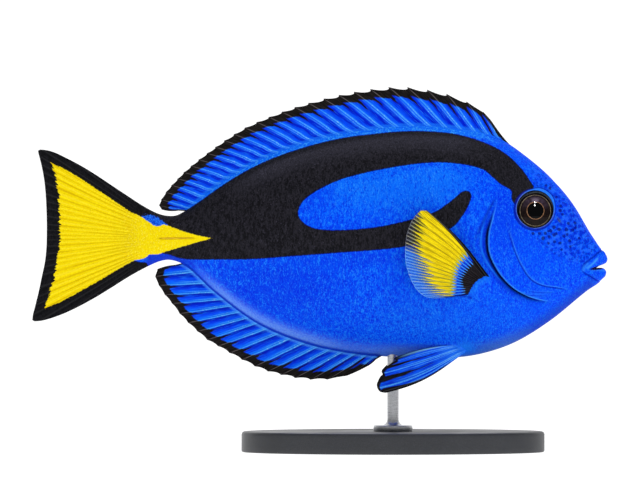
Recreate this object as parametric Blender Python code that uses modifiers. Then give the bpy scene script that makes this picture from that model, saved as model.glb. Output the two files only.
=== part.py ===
"""Regal blue tang, adult, life size, as a still museum model on a plain stand.

+X is towards the snout, +Z up, and the median plane of the fish is y = 0.
The origin is on the floor, under the middle of the overall length.
The fish is laid out on a side elevation whose unit is 1/574 of the total
length: u runs towards the snout and v runs down.
"""

import math

import bmesh
import bpy
import numpy as np
from mathutils import Matrix, Vector

# ---------------------------------------------------------------- dimensions
LENGTH = 0.250  # snout to the tips of the tail lobes
DRAWN = 574.0  # the same length on the elevation
UNIT = LENGTH / DRAWN
MID_U = 320.0  # abscissa of x = 0
LEVEL_V, LEVEL_Z = 240.0, 0.0923  # one height on the elevation and over the floor
GAP = 0.0003  # joint between neighbouring pieces

GILL_U = 497.0  # upper end of the gill opening
STALK_U = 196.0  # trunk to tail stalk
HYPURAL_U = 131.0  # tail stalk to tail fin

MEMBRANE = 0.0007  # fins at their margins
RAY_BASE = 0.0015  # fins at their bases

EYE_U, EYE_V = 535.2, 209.6
EYE_R, EYE_DEEP, EYE_SUNK = 0.0083, 0.0036, 0.0010

ROD_U, ROD_R, ROD_IN = 393.0, 0.0025, 0.010
FLANGE_R, FLANGE_H = 0.0085, 0.0026
BASE_L, BASE_W, BASE_H = 0.132, 0.084, 0.009


def x_of(u):
    return (u - MID_U) * UNIT


def z_of(v):
    return LEVEL_Z + (LEVEL_V - v) * UNIT


def fair(*knots):
    """A smooth curve through a few (place, value) knots."""
    k = np.array(knots, float)
    x, y = k[:, 0], k[:, 1]
    h = np.diff(x)
    d = np.diff(y) / h
    m = np.empty_like(y)
    m[1:-1] = (d[:-1] * h[1:] + d[1:] * h[:-1]) / (h[:-1] + h[1:])
    m[0], m[-1] = d[0], d[-1]

    def at(q):
        q = np.clip(q, x[0], x[-1])
        i = np.clip(np.searchsorted(x, q, side="right") - 1, 0, len(h) - 1)
        s = (q - x[i]) / h[i]
        return float(
            (1 + 2 * s) * (1 - s) ** 2 * y[i]
            + s * (1 - s) ** 2 * h[i] * m[i]
            + s * s * (3 - 2 * s) * y[i + 1]
            + s * s * (s - 1) * h[i] * m[i + 1]
        )

    return at


# ------------------------------------------------------- outline of the body
# Back: upper tail lobe, tail stalk, hump under the dorsal fin, steep forehead.
back = fair(
    (41, 149.8), (59, 154.3), (83, 167), (131, 199.2), (150, 211), (168, 216), (184, 211.5),
    (215, 186), (263, 157.5), (311, 140), (359, 130), (407, 125), (455, 127.5),
    (497, 137), (527, 157), (551, 178), (575, 207), (590, 232.5), (602, 251),
    (607, 257.5),
)
# Belly: lower tail lobe, tail stalk, deep belly, throat, chin.
belly = fair(
    (33, 321), (59, 314.8), (83, 304), (131, 274.7), (150, 264.7), (168, 259.7),
    (184, 264), (214, 291), (254, 320.8), (309, 344), (355, 353.4), (400, 357.3),
    (440, 358.3), (479, 354.2), (515, 342.2), (551, 320), (587, 290.8), (602, 279.5),
    (607, 273),
)
# Half the thickness of the flesh, in millimetres.
flesh = fair(
    (112, 0), (125, 0.8), (140, 2.1), (155, 3.3), (170, 4.3), (190, 5.5),
    (215, 7.4), (250, 10.2), (300, 13.4), (350, 15.6), (400, 16.9), (440, 17.2),
    (475, 16.6), (505, 15.1), (535, 12.6), (560, 9.9), (580, 7.4), (595, 5.5),
    (603, 4.0), (607, 1.6),
)
# The gill opening, as a shift of the cut along the side from back to throat.
gill = fair(
    (-1, 63), (-0.76, 48), (-0.575, 31), (-0.47, 15), (-0.32, 3), (-0.15, -8),
    (0, -10.5), (0.2, -5), (0.45, 0), (1, 3),
)
# The hollow trailing edge of the tail, from the lower lobe to the upper.
trailing = fair(
    (-1, 33), (-0.8, 37.2), (-0.5, 42.6), (-0.2, 46), (0.1, 46.9), (0.5, 46),
    (0.8, 43.6), (1, 40),
)


def half_thickness(u, t):
    """Half the thickness at u and t, where t is 1 on the back and -1 on the belly."""
    lens = max(1 - abs(t) ** 2.3, 0.0) ** 0.68
    plate = max(1 - abs(t) ** 14, 0.0) ** 0.5
    thin = MEMBRANE / 2 + (RAY_BASE - MEMBRANE) / 2 * min(max((u - 40) / 90, 0), 1)
    return max(flesh(u), 0) * 0.001 * lens + thin * plate


def v_at(u, t):
    return back(u) + (belly(u) - back(u)) * (1 - t) / 2


def t_at(u, v):
    return 1 - 2 * (v - back(u)) / (belly(u) - back(u))


def side_y(u, v):
    return half_thickness(u, t_at(u, v))


def station(s, t):
    """Where a lofting line s meets the level t: lines bend along the gill opening and the tail's edge."""
    if s > GILL_U:
        return s + gill(t) * (607 - s) / (607 - GILL_U)
    if s > 400:
        return s + gill(t) * (s - 400) / (GILL_U - 400)
    if s < 100:
        k = (100 - s) / 60
        return (1 - k) * 100 + k * trailing(t)
    return s


def skin_point(s, t, shift=0.0):
    u = station(s, t) + shift / UNIT
    return (x_of(u), half_thickness(u, t), z_of(v_at(u, t)))


# ------------------------------------------------------------------- helpers
def material(name, colour, roughness, metallic=0.0):
    m = bpy.data.materials.new(name)
    m.use_nodes = True
    p = m.node_tree.nodes["Principled BSDF"]
    p.inputs["Base Color"].default_value = (*colour, 1)
    p.inputs["Roughness"].default_value = roughness
    p.inputs["Metallic"].default_value = metallic
    return m


def new_object(name, mesh, mat, where):
    obj = bpy.data.objects.new(name, mesh)
    where.objects.link(obj)
    if mat:
        mesh.materials.append(mat)
    return obj


def loft(name, lines, levels, mat, where, first=0.0, last=0.0):
    """One half of the body between two lofting lines, closed across both ends, mirrored to the other side."""
    bm = bmesh.new()
    grid = []
    for i, s in enumerate(lines):
        shift = first if i == 0 else last if i == len(lines) - 1 else 0.0
        grid.append([bm.verts.new(skin_point(s, t, shift)) for t in levels])
    for row in grid:
        for end in (row[0], row[-1]):
            end.co.y = 0.0
    for a, b in zip(grid, grid[1:]):
        for j in range(len(levels) - 1):
            bm.faces.new((a[j], a[j + 1], b[j + 1], b[j]))
    for row, flip in ((grid[0], False), (grid[-1], True)):
        mid = [row[0]]
        mid += [bm.verts.new((v.co.x, 0.0, v.co.z)) for v in row[1:-1]]
        mid += [row[-1]]
        for j in range(len(row) - 1):
            ring = [row[j], row[j + 1], mid[j + 1], mid[j]]
            ring = [v for k, v in enumerate(ring) if v not in ring[:k]]
            bm.faces.new(ring[::-1] if not flip else ring)
    bmesh.ops.recalc_face_normals(bm, faces=bm.faces)
    mesh = bpy.data.meshes.new(name)
    bm.to_mesh(mesh)
    bm.free()
    mesh.shade_smooth()
    mesh.set_sharp_from_angle(angle=math.radians(40))
    obj = new_object(name, mesh, mat, where)
    both = obj.modifiers.new("both_sides", "MIRROR")
    both.use_axis = (False, True, False)
    both.use_clip = True
    both.merge_threshold = 0.00001
    # The half lies on the +y side; the outward side of its faces must survive.
    return obj


def levels(n):
    """Levels from belly to back, closer together towards both edges."""
    return [math.sin(math.pi / 2 * (2 * j / n - 1)) for j in range(n + 1)]


def even(a, b, n):
    return [a + (b - a) * i / n for i in range(n + 1)]


def fin_sheet(name, points, thick, mat, where):
    """A fin as an open surface of rays by rows, given its thickness by Solidify."""
    bm = bmesh.new()
    weight = bm.verts.layers.deform.verify()
    grid = []
    for column, shares in zip(points, thick):
        row = []
        for p, share in zip(column, shares):
            v = bm.verts.new(p)
            v[weight][0] = share
            row.append(v)
        grid.append(row)
    for a, b in zip(grid, grid[1:]):
        for j in range(len(a) - 1):
            bm.faces.new((a[j], a[j + 1], b[j + 1], b[j]))
    bmesh.ops.recalc_face_normals(bm, faces=bm.faces)
    mesh = bpy.data.meshes.new(name)
    bm.to_mesh(mesh)
    bm.free()
    mesh.shade_smooth()
    obj = new_object(name, mesh, mat, where)
    obj.vertex_groups.new(name="thickness")
    shell = obj.modifiers.new("thickness", "SOLIDIFY")
    shell.thickness = RAY_BASE
    shell.offset = 0.0
    shell.vertex_group = "thickness"
    shell.thickness_vertex_group = 0.0
    shell.use_rim = True
    return obj


def cut(obj, cutter):
    cutter.hide_render = True
    cutter.display_type = "WIRE"
    b = obj.modifiers.new("cut_" + cutter.name, "BOOLEAN")
    b.operation = "DIFFERENCE"
    b.solver = "EXACT"
    b.object = cutter


def move_to(obj, where):
    for c in list(obj.users_collection):
        c.objects.unlink(obj)
    where.objects.link(obj)


def ellipsoid(name, centre, turn, radii, mat, where, segments=20, rings=10):
    bpy.ops.mesh.primitive_uv_sphere_add(segments=segments, ring_count=rings, radius=1)
    obj = bpy.context.object
    obj.name = obj.data.name = name
    obj.data.transform(Matrix.Diagonal((*radii, 1)))
    obj.data.shade_smooth()
    obj.location = centre
    obj.rotation_mode = "QUATERNION"
    obj.rotation_quaternion = turn
    if mat:
        obj.data.materials.append(mat)
    move_to(obj, where)
    return obj


def outward(u, v):
    """Unit normal of the left side at a place on the elevation."""
    e = 2.0
    dx = (side_y(u + e, v) - side_y(u - e, v)) / (2 * e * UNIT)
    dz = (side_y(u, v - e) - side_y(u, v + e)) / (2 * e * UNIT)
    return Vector((-dx, 1.0, -dz)).normalized()


# --------------------------------------------------------------------- fins
def lerp(a, b, k):
    return [p + (q - p) * k for p, q in zip(a, b)]


dorsal_edge = fair(
    (159.6, 205), (162.8, 196.3), (169, 188), (191, 165), (215, 146.5),
    (244, 128.5), (283, 112), (325, 98), (370, 89.5), (406.5, 87.2), (427, 89.6),
    (447, 93.6), (466.5, 100.8), (482.4, 111.3), (487, 116),
)
anal_edge = fair(
    (155.5, 266), (157.5, 278), (167, 296), (191, 324.5), (215, 344.6), (251, 364),
    (287, 376), (315, 379.8), (335, 378.5), (352, 373.8), (366, 365), (376, 356),
)


def dorsal_ray(i):
    """Root and tip of dorsal ray i: nine spines, then nineteen soft rays, leaning back more and more."""
    tip = 482.4 - 20 * i + 0.30 * i * i
    root = tip + 16 + 1.6 * i - 0.045 * i * i + 4 * math.exp(-i)
    return (root, back(root) - 0.9), (tip, dorsal_edge(tip))


def anal_ray(i):
    """Root and tip of anal ray i: three spines, then nineteen soft rays."""
    tip = 366 - 14 * i + 0.20 * i * i
    root = min(tip + 12 + 5.6 * i - 0.233 * i * i, 378)
    return (root, belly(root) + 0.9), (tip, anal_edge(tip))


def median_fin(name, ray, count, notch, rear_tip, mat, where):
    """A fin on the median plane: a column on each ray and one between each two, whose edge is cut in by notch."""
    columns, shares = [], []
    for k in range(2 * count - 1):
        root, tip = ray(k / 2)
        between = k % 2
        if between:
            tip = lerp(tip, root, notch)
        column, share = [], []
        for row in range(5):
            r = row / 4
            u, v = lerp(root, tip, r)
            column.append((x_of(u), 0.0, z_of(v)))
            thin = 1 - (1 - MEMBRANE / RAY_BASE) * r
            share.append(thin * (0.82 if between and 0 < row < 4 else 1.0))
        columns.append(column)
        shares.append(share)
    root, _ = ray(count - 1)
    free = (root[0] - 2, ray(count - 1 + 0.25)[0][1])
    column = [lerp(free, rear_tip, row / 4) for row in range(5)]
    columns.append([(x_of(u), 0.0, z_of(v)) for u, v in column])
    shares.append([0.55] * 5)
    return fin_sheet(name, columns, shares, mat, where)


pectoral_root = fair((0, 488), (1, 467))
pectoral_root_v = fair((0, 276), (1, 294))
pectoral_tip = fair(
    (0, 425.1), (0.1, 414.5), (0.24, 407.5), (0.4, 405), (0.56, 406), (0.72, 410),
    (0.86, 416.5), (1, 428),
)
pectoral_tip_v = fair(
    (0, 209.5), (0.1, 214.5), (0.24, 228), (0.4, 243.5), (0.56, 262), (0.72, 279.5),
    (0.86, 291.5), (1, 298.8),
)
pelvic_root = fair((0, 463), (1, 449))
pelvic_root_v = fair((0, 353.5), (1, 348.5))
pelvic_tip = fair((0, 386.8), (0.15, 378), (0.45, 378.5), (0.7, 383), (1, 394.5))
pelvic_tip_v = fair((0, 391.8), (0.15, 389), (0.45, 380.5), (0.7, 371), (1, 358.6))


def paired_fin(name, side, root_of, tip_of, rays, rows, bow, lift, spread, mat, where):
    """A fan of rays from a root on the body, held out from the side by spread, side being 1 on the left."""
    columns, shares = [], []
    count = 2 * (rays - 1)
    for k in range(count + 1):
        a = k / count
        root, tip = root_of(a), tip_of(a)
        reach = math.dist(root, tip) * UNIT
        y0 = side_y(*root) + lift
        column, share = [], []
        for row in range(rows + 1):
            r = row / rows
            u, v = lerp(root, tip, r)
            arch = bow * math.sin(math.pi * r) * (1 - 2 * a)
            v -= arch
            out = spread * (r * reach) - 3.2 * (r * reach) ** 2
            column.append((x_of(u), side * (y0 + out), z_of(v)))
            share.append(1 - (1 - MEMBRANE / RAY_BASE) * min(1.4 * r, 1))
        columns.append(column)
        shares.append(share)
    return fin_sheet(name, columns, shares, mat, where)


# --------------------------------------------------------------------- build
def main():
    for obj in list(bpy.data.objects):
        bpy.data.objects.remove(obj, do_unlink=True)
    fish = bpy.data.collections.new("regal_blue_tang")
    tools = bpy.data.collections.new("cutters")
    for c in (fish, tools):
        bpy.context.scene.collection.children.link(c)

    blue = material("blue_skin", (0.0, 0.08, 0.95), 0.4)
    black = material("black_skin", (0.02, 0.02, 0.025), 0.45)
    yellow = material("yellow_skin", (0.93, 0.72, 0.01), 0.4)
    fin_blue = material("fin_blue", (0.02, 0.16, 0.88), 0.35)
    iris = material("eye", (0.03, 0.015, 0.01), 0.1)
    spine = material("spine_horn", (0.7, 0.5, 0.05), 0.4)
    paint = material("stand_paint", (0.03, 0.032, 0.036), 0.4, 0.3)
    steel = material("stand_steel", (0.62, 0.63, 0.65), 0.35, 1.0)

    # Body, in three lengths that part along the gill opening and across the tail stalk.
    head = loft(
        "head",
        even(GILL_U, 561, 5) + [572, 582, 591, 598, 603, 606, 607],
        levels(20), blue, fish, first=1.4 * GAP,
    )
    trunk = loft(
        "trunk", even(STALK_U, 400, 9)[:-1] + even(400, GILL_U, 5),
        levels(20), blue, fish,
    )
    stalk = loft(
        "tail_stalk", even(HYPURAL_U, STALK_U, 7), levels(14), yellow, fish, last=-GAP,
    )
    loft(
        "tail_fin", [40, 56, 74, 94, 112, HYPURAL_U], levels(20), yellow, fish,
        last=-GAP,
    )

    # Mouth, a short slit between the lips.
    bpy.ops.mesh.primitive_cylinder_add(vertices=3, radius=1, depth=0.03)
    mouth = bpy.context.object
    mouth.name = "mouth_cutter"
    mouth.data.transform(Matrix.Rotation(math.pi / 2, 4, "X"))
    mouth.data.transform(Matrix.Rotation(math.pi / 2, 4, "Y"))
    low = min(v.co.x for v in mouth.data.vertices)
    if sum(abs(v.co.x - low) < 1e-6 for v in mouth.data.vertices) != 2:
        mouth.data.transform(Matrix.Rotation(math.pi, 4, "Y"))
    mouth.data.transform(Matrix.Diagonal((0.0065, 1, 0.0015, 1)))
    mouth.location = (x_of(604), 0, z_of(268))
    mouth.rotation_euler = (0, math.radians(-6), 0)
    move_to(mouth, tools)
    cut(head, mouth)

    # Eyes: flattened balls set square to the sides, in sockets.
    for side, label in ((1, "left"), (-1, "right")):
        n = outward(EYE_U, EYE_V)
        n.y *= side
        at = Vector((x_of(EYE_U), side * side_y(EYE_U, EYE_V), z_of(EYE_V)))
        turn = n.to_track_quat("Z", "Y")
        at -= n * EYE_SUNK
        ellipsoid(
            "eye_" + label, at, turn, (EYE_R, EYE_R, EYE_DEEP), iris, fish,
        )
        socket = ellipsoid(
            "socket_" + label, at, turn,
            (EYE_R + GAP, EYE_R + GAP, EYE_DEEP + GAP), None, tools,
        )
        cut(head, socket)

    # The folded spine on each side of the tail stalk, in its groove.
    for side, label in ((1, "left"), (-1, "right")):
        u, v = 177.0, 237.3
        n = outward(u, v)
        n.y *= side
        at = Vector((x_of(u), side * (side_y(u, v) - 0.0003), z_of(v)))
        along = Vector((n.y * side, -n.x * side, 0)).normalized()
        frame = Matrix((along, n.cross(along), n)).transposed()
        turn = frame.to_quaternion()
        ellipsoid(
            "tail_spine_" + label, at, turn, (0.0070, 0.0008, 0.0009), spine, fish, 10, 8,
        )
        groove = ellipsoid(
            "groove_" + label, at, turn, (0.0075, 0.0012, 0.0013), None, tools, 12, 8,
        )
        cut(stalk, groove)

    # Unpaired fins.
    median_fin(
        "dorsal_fin", dorsal_ray, 28, 0.055, (161.3, 209.8), fin_blue, fish,
    )
    median_fin(
        "anal_fin", anal_ray, 22, 0.03, (157.2, 265.4), fin_blue, fish,
    )

    # Paired fins.
    for side, label in ((1, "left"), (-1, "right")):
        paired_fin(
            "pectoral_fin_" + label, side,
            lambda a: (pectoral_root(a), pectoral_root_v(a)),
            lambda a: (pectoral_tip(a), pectoral_tip_v(a)),
            11, 5, 2.5, 0.0013, 0.42, yellow, fish,
        )
        paired_fin(
            "pelvic_fin_" + label, side,
            lambda a: (pelvic_root(a), pelvic_root_v(a)),
            lambda a: (pelvic_tip(a), pelvic_tip_v(a)),
            5, 5, -4.5, 0.0014, 0.30, fin_blue, fish,
        )

    # Stand: an oval plate and one turned rod that enters the belly.
    rod_x = x_of(ROD_U)
    bpy.ops.mesh.primitive_cylinder_add(vertices=48, radius=1, depth=1)
    base = bpy.context.object
    base.name = base.data.name = "stand_base"
    base.data.transform(Matrix.Diagonal((BASE_L / 2, BASE_W / 2, BASE_H, 1)))
    base.data.materials.append(paint)
    base.location = (rod_x, 0, BASE_H / 2)
    edge = base.modifiers.new("edge", "BEVEL")
    edge.width = 0.0012
    edge.segments = 2
    edge.limit_method = "ANGLE"
    base.data.shade_smooth()
    base.data.set_sharp_from_angle(angle=math.radians(35))
    move_to(base, fish)

    foot = BASE_H + GAP
    top = z_of(belly(ROD_U)) + ROD_IN
    profile = [
        (0, top), (ROD_R - 0.0005, top), (ROD_R, top - 0.0005),
        (ROD_R, foot + FLANGE_H + 0.0025), (ROD_R + 0.0007, foot + FLANGE_H + 0.0008),
        (ROD_R + 0.0022, foot + FLANGE_H), (FLANGE_R - 0.0006, foot + FLANGE_H),
        (FLANGE_R, foot + FLANGE_H - 0.0006), (FLANGE_R, foot), (0, foot),
    ]
    mesh = bpy.data.meshes.new("stand_rod")
    mesh.from_pydata([(r, 0, z) for r, z in profile],
                     [(i, i + 1) for i in range(len(profile) - 1)], [])
    rod = new_object("stand_rod", mesh, steel, fish)
    rod.location = (rod_x, 0, 0)
    turned = rod.modifiers.new("turned", "SCREW")
    turned.steps = turned.render_steps = 24
    turned.use_merge_vertices = True
    turned.merge_threshold = 0.00001
    turned.use_smooth_shade = True

    bpy.ops.mesh.primitive_cylinder_add(vertices=24, radius=ROD_R + GAP, depth=0.02)
    hole = bpy.context.object
    hole.name = "rod_hole"
    hole.location = (rod_x, 0, top + GAP - 0.01)
    move_to(hole, tools)
    cut(trunk, hole)


main()
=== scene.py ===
"""Looks of a regal blue tang: skin, fins, eyes and stand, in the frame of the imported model.

The fish is laid out on a side elevation: u runs to the snout, v runs down,
1/574 of the total length to a unit. The median plane is y = 0.
"""

import math

import bpy
import numpy as np
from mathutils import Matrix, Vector


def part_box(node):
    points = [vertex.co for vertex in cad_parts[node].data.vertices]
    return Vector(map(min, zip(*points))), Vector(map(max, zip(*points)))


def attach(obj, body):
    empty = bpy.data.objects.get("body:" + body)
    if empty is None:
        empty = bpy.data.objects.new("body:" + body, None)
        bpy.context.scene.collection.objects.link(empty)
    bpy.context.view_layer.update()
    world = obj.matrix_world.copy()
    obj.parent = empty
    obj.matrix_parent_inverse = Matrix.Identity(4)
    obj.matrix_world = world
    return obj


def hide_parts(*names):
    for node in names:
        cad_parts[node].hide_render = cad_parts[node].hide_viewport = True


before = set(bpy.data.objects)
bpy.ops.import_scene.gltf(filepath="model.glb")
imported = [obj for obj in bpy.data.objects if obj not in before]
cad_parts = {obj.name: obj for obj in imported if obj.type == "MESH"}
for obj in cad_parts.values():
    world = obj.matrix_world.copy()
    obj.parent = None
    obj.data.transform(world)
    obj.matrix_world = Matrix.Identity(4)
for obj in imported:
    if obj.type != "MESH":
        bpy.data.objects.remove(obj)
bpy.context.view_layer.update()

LENGTH, DRAWN = 0.250, 574.0
UNIT = LENGTH / DRAWN
MID_U, LEVEL_V, LEVEL_Z = 320.0, 240.0, 0.0923
GILL_U = 497.0
EYE_U, EYE_V = 534.5, 210.7  # middle of the pupil
ORBIT_U, ORBIT_V, EYE_OPEN = 534.1, 209.35, 18.6
CLEFT_T = -0.34  # level of the corner of the mouth


def X(u):
    return (np.asarray(u, float) - MID_U) * UNIT


def Z(v):
    return LEVEL_Z + (LEVEL_V - np.asarray(v, float)) * UNIT


def step(a, b, x):
    k = np.clip((np.asarray(x, float) - a) / (b - a), 0, 1)
    return k * k * (3 - 2 * k)


def bell(x, w):
    return np.exp(-((np.asarray(x, float) / w) ** 2))


def fair(*knots):
    """A smooth curve through a few (place, value) knots."""
    k = np.array(knots, float)
    x, y = k[:, 0], k[:, 1]
    h = np.diff(x)
    d = np.diff(y) / h
    m = np.empty_like(y)
    m[1:-1] = (d[:-1] * h[1:] + d[1:] * h[:-1]) / (h[:-1] + h[1:])
    m[0], m[-1] = d[0], d[-1]

    def at(q):
        q = np.clip(np.asarray(q, float), x[0], x[-1])
        i = np.clip(np.searchsorted(x, q, side="right") - 1, 0, len(h) - 1)
        s = (q - x[i]) / h[i]
        return (
            (1 + 2 * s) * (1 - s) ** 2 * y[i]
            + s * (1 - s) ** 2 * h[i] * m[i]
            + s * s * (3 - 2 * s) * y[i + 1]
            + s * s * (s - 1) * h[i] * m[i + 1]
        )

    return at


def run(points, per=8):
    """A smooth line through points, as many short steps."""
    p = np.array(points, float)
    pad = np.vstack([2 * p[0] - p[1], p, 2 * p[-1] - p[-2]])
    t = np.linspace(0, 1, per, endpoint=False)[:, None]
    out = []
    for i in range(len(p) - 1):
        a, b, c, d = pad[i : i + 4]
        out.append(
            0.5
            * (
                2 * b
                + (c - a) * t
                + (2 * a - 5 * b + 4 * c - d) * t**2
                + (3 * b - a - 3 * c + d) * t**3
            )
        )
    out.append(p[-1:])
    return np.vstack(out)


def loop(*runs):
    """A closed outline of smooth runs that meet at corners."""
    return np.vstack([run(r)[:-1] for r in runs])


def nearest(path, q, closed=False):
    """Distance from each q to the path, which side it is on, and how far along from 0 to 1."""
    a = path if closed else path[:-1]
    b = np.roll(path, -1, 0) if closed else path[1:]
    ab = b - a
    size = np.sqrt((ab**2).sum(1))
    start = np.concatenate([[0], np.cumsum(size)[:-1]])
    dist, side, along = (np.empty(len(q)) for _ in range(3))
    for k in range(0, len(q), 4000):
        d = q[k : k + 4000, None] - a[None]
        t = np.clip((d * ab).sum(-1) / size**2, 0, 1)
        r = d - t[..., None] * ab
        d2 = (r**2).sum(-1)
        j = d2.argmin(1)
        i = np.arange(len(j))
        dist[k : k + 4000] = np.sqrt(d2[i, j])
        side[k : k + 4000] = np.sign(ab[j, 0] * d[i, j, 1] - ab[j, 1] * d[i, j, 0])
        along[k : k + 4000] = (start[j] + t[i, j] * size[j]) / size.sum()
    return dist, side, along


def inside(outline, q):
    """Distance from each q to a closed outline, positive inside."""
    dist, _, _ = nearest(outline, q, closed=True)
    a, b = outline, np.roll(outline, -1, 0)
    hit = np.zeros(len(q), bool)
    for k in range(0, len(q), 4000):
        x, y = q[k : k + 4000, 0, None], q[k : k + 4000, 1, None]
        span = (a[:, 1] > y) != (b[:, 1] > y)
        rise = np.where(b[:, 1] == a[:, 1], 1e-9, b[:, 1] - a[:, 1])
        cross = x < (b[:, 0] - a[:, 0]) * (y - a[:, 1]) / rise + a[:, 0]
        hit[k : k + 4000] = (span & cross).sum(1) % 2 == 1
    return np.where(hit, dist, -dist)


# ------------------------------------------------------------ form of the body
back = fair(
    (39, 149.5), (44, 149.8), (50, 150.9), (57, 153.4), (64, 156.8), (80, 165.1),
    (96, 174.8), (112, 185.5), (128, 196.1), (144, 206.4), (152, 210.8), (160, 214.2),
    (168, 215.8), (176, 215.4), (184, 211.5), (215, 186), (263, 157.5), (311, 140), (359, 130), (407, 125),
    (455, 127.5), (497, 137), (527, 157), (551, 178), (575, 207), (590, 232.5),
    (602, 251), (607, 257.5),
)
belly = fair(
    (33, 321.4), (40, 321.0), (48, 319.2), (57, 316.2), (64, 313.5), (80, 305.9),
    (96, 297.1), (112, 287.3), (128, 277.2), (144, 268.3), (152, 264.4), (160, 261.2),
    (168, 259.8), (176, 261.2), (184, 264.6), (214, 291), (254, 320.8), (309, 344), (355, 353.4), (400, 357.3),
    (440, 358.3), (479, 354.2), (515, 342.2), (551, 320), (587, 290.8),
    (602, 279.5), (607, 273),
)
flesh = fair(
    (112, 0), (125, 0.8), (140, 2.1), (155, 3.3), (170, 4.3), (190, 5.5),
    (215, 7.4), (250, 10.2), (300, 13.4), (350, 15.6), (400, 16.9), (440, 17.2),
    (475, 16.6), (505, 15.1), (535, 12.6), (560, 9.9), (580, 7.4), (595, 5.3),
    (603, 4.1), (607, 3.4),
)
gill = fair(
    (-1, 64), (-0.76, 51), (-0.65, 43), (-0.535, 25), (-0.438, 12.2), (-0.306, 3),
    (-0.234, -2.2), (-0.13, -8.4), (-0.02, -10.7), (0.05, -10), (0.215, -6),
    (0.45, 0), (1, 3),
)
trailing = fair(
    (-1, 34.4), (-0.986, 32.5), (-0.965, 32.5), (-0.81, 35.4), (-0.66, 38.6),
    (-0.48, 41.9), (-0.33, 44.7), (-0.185, 46.2), (0.04, 46.8), (0.34, 46.3),
    (0.486, 45.6), (0.636, 44.3), (0.83, 41.2), (0.918, 39.3), (0.965, 38.3),
    (0.986, 38.2), (1, 39.9),
)


def v_at(u, t):
    return back(u) + (belly(u) - back(u)) * (1 - t) / 2


def t_at(u, v):
    return 1 - 2 * (v - back(u)) / (belly(u) - back(u))


def thickness(u, t):
    """Half the thickness in metres, flesh and tail fin together."""
    t = np.clip(np.abs(t), 0, 1)
    lens = (1 - t**2.3) ** 0.68
    plate = (1 - t**14) ** 0.5
    thin = 0.00020 + 0.00040 * np.clip((u - 40) / 90, 0, 1)
    return np.maximum(flesh(u), 0) * 0.001 * lens + thin * plate


def side_y(u, v):
    return thickness(u, t_at(u, v))


def station(s, t):
    u = np.where(s > GILL_U, s + gill(t) * (607 - s) / (607 - GILL_U), s)
    u = np.where((s > 400) & (s <= GILL_U), s + gill(t) * (s - 400) / (GILL_U - 400), u)
    k = np.clip((100 - s) / 60, 0, 1)
    return np.where(s < 100, (1 - k) * 100 + k * trailing(t), u)


def lip_line():
    """Profile of the closed lips in the median plane, against the level t."""
    upper = run([(601.7, 250.2), (604.0, 252.2), (606.1, 254.8), (607.3, 257.8),
                 (607.3, 260.4), (605.9, 262.9), (602.9, 264.5), (599.3, 265.9),
                 (596.2, 267.9)])
    lower = run([(596.2, 267.9), (599.4, 267.7), (602.9, 268.1), (605.1, 269.5),
                 (606.2, 271.6), (606.1, 274.0), (604.9, 276.6), (602.4, 278.9),
                 (599.6, 281.0)])
    parts, levels_ = [], []
    for line, a, b in ((upper, 1, CLEFT_T), (lower, CLEFT_T, -1)):
        size = np.concatenate([[0], np.cumsum(np.hypot(*np.diff(line, axis=0).T))])
        parts.append(line)
        levels_.append(a + (b - a) * size / size[-1])
    line, level = np.vstack(parts), np.concatenate(levels_)
    order = np.argsort(level, kind="stable")
    return level[order], line[order]


def muzzle(s, t, u, v):
    """Carries the last columns of the grid from the cheek to the profile of the lips."""
    level, line = lip_line()
    k = np.clip((s - 590) / 17, 0, 1)
    u0 = station(590.0, t)
    v0 = v_at(u0, t)
    pu = np.interp(t, level, line[:, 0])
    pv = np.interp(t, level, line[:, 1])
    on = s > 590
    return np.where(on, u0 + (pu - u0) * k, u), np.where(on, v0 + (pv - v0) * k, v)


# ------------------------------------------------------------------- markings
palette = loop(
    [(533, 187), (528.3, 179.7), (521.6, 170), (511, 158.8), (500.5, 151),
     (491, 146), (479, 141), (467, 137.2), (455, 134.4), (443, 132.8),
     (419, 131.4), (395, 132), (371, 134.5), (347, 137.6), (323, 142.6),
     (299, 149.4), (275, 157.6), (251, 168.5), (227, 182.6), (203, 199.5),
     (189, 208.8)],
    [(189, 208.8), (180, 200)],
    [(180, 200), (20, 120)],
    [(20, 120), (20, 345)],
    [(20, 345), (150, 275)],
    [(150, 275), (147, 263.6), (141, 262.4), (134, 260.8)],
    [(134, 260.8), (140, 245)],
    [(140, 245), (155, 252)],
    [(155, 252), (163, 253.2), (171, 255), (179, 257.8), (189, 259.2),
     (215, 259.3), (251, 258.9), (287, 256.4), (323, 253.6), (359, 251),
     (383, 249), (405, 246), (430, 237.5), (451, 227.5), (460, 218),
     (466.5, 207.6), (470, 198.4), (469.6, 193.4), (467.3, 191.4),
     (464, 191.2), (460, 193), (453.4, 199), (445, 205.3), (433.6, 212.6),
     (410.6, 219.8), (380, 226.7), (350, 230), (326, 230.2), (311, 227.4),
     (301.5, 221), (298, 213), (302, 202.5), (311, 194.5), (323, 187.4),
     (335, 181.8), (347, 177.5), (371, 171.5), (395, 167), (419, 163.7),
     (443, 162.6), (467, 165.3), (483, 170), (491, 176.3), (499.6, 184),
     (507, 188.2), (511.2, 192), (510.6, 197.6), (512.5, 203)],
    [(512.5, 203), (526, 212)],
    [(526, 212), (533, 187)],
)
gold = loop(
    [(50.4, 161.6), (71, 172.5), (95, 188), (119, 204), (131, 212),
     (136, 213.9), (143, 217.7), (150, 222.5), (155, 226), (160, 225.8),
     (165, 224.6), (175, 228.2), (187, 232.4), (200, 235.8), (213, 238.4)],
    [(213, 238.4), (200, 241.6), (187, 245.4), (174, 249.3), (165, 252),
     (158, 254.4), (150, 254.6), (146, 257.8), (140, 259.6), (134, 260.7),
     (119, 269), (95, 283), (71, 296.4), (44.2, 309.8)],
    [(44.2, 309.8), (49, 296), (53, 280), (57, 262), (59.5, 245), (60, 229),
     (59.2, 205), (57.6, 188), (55, 174), (50.4, 161.6)],
)
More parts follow.
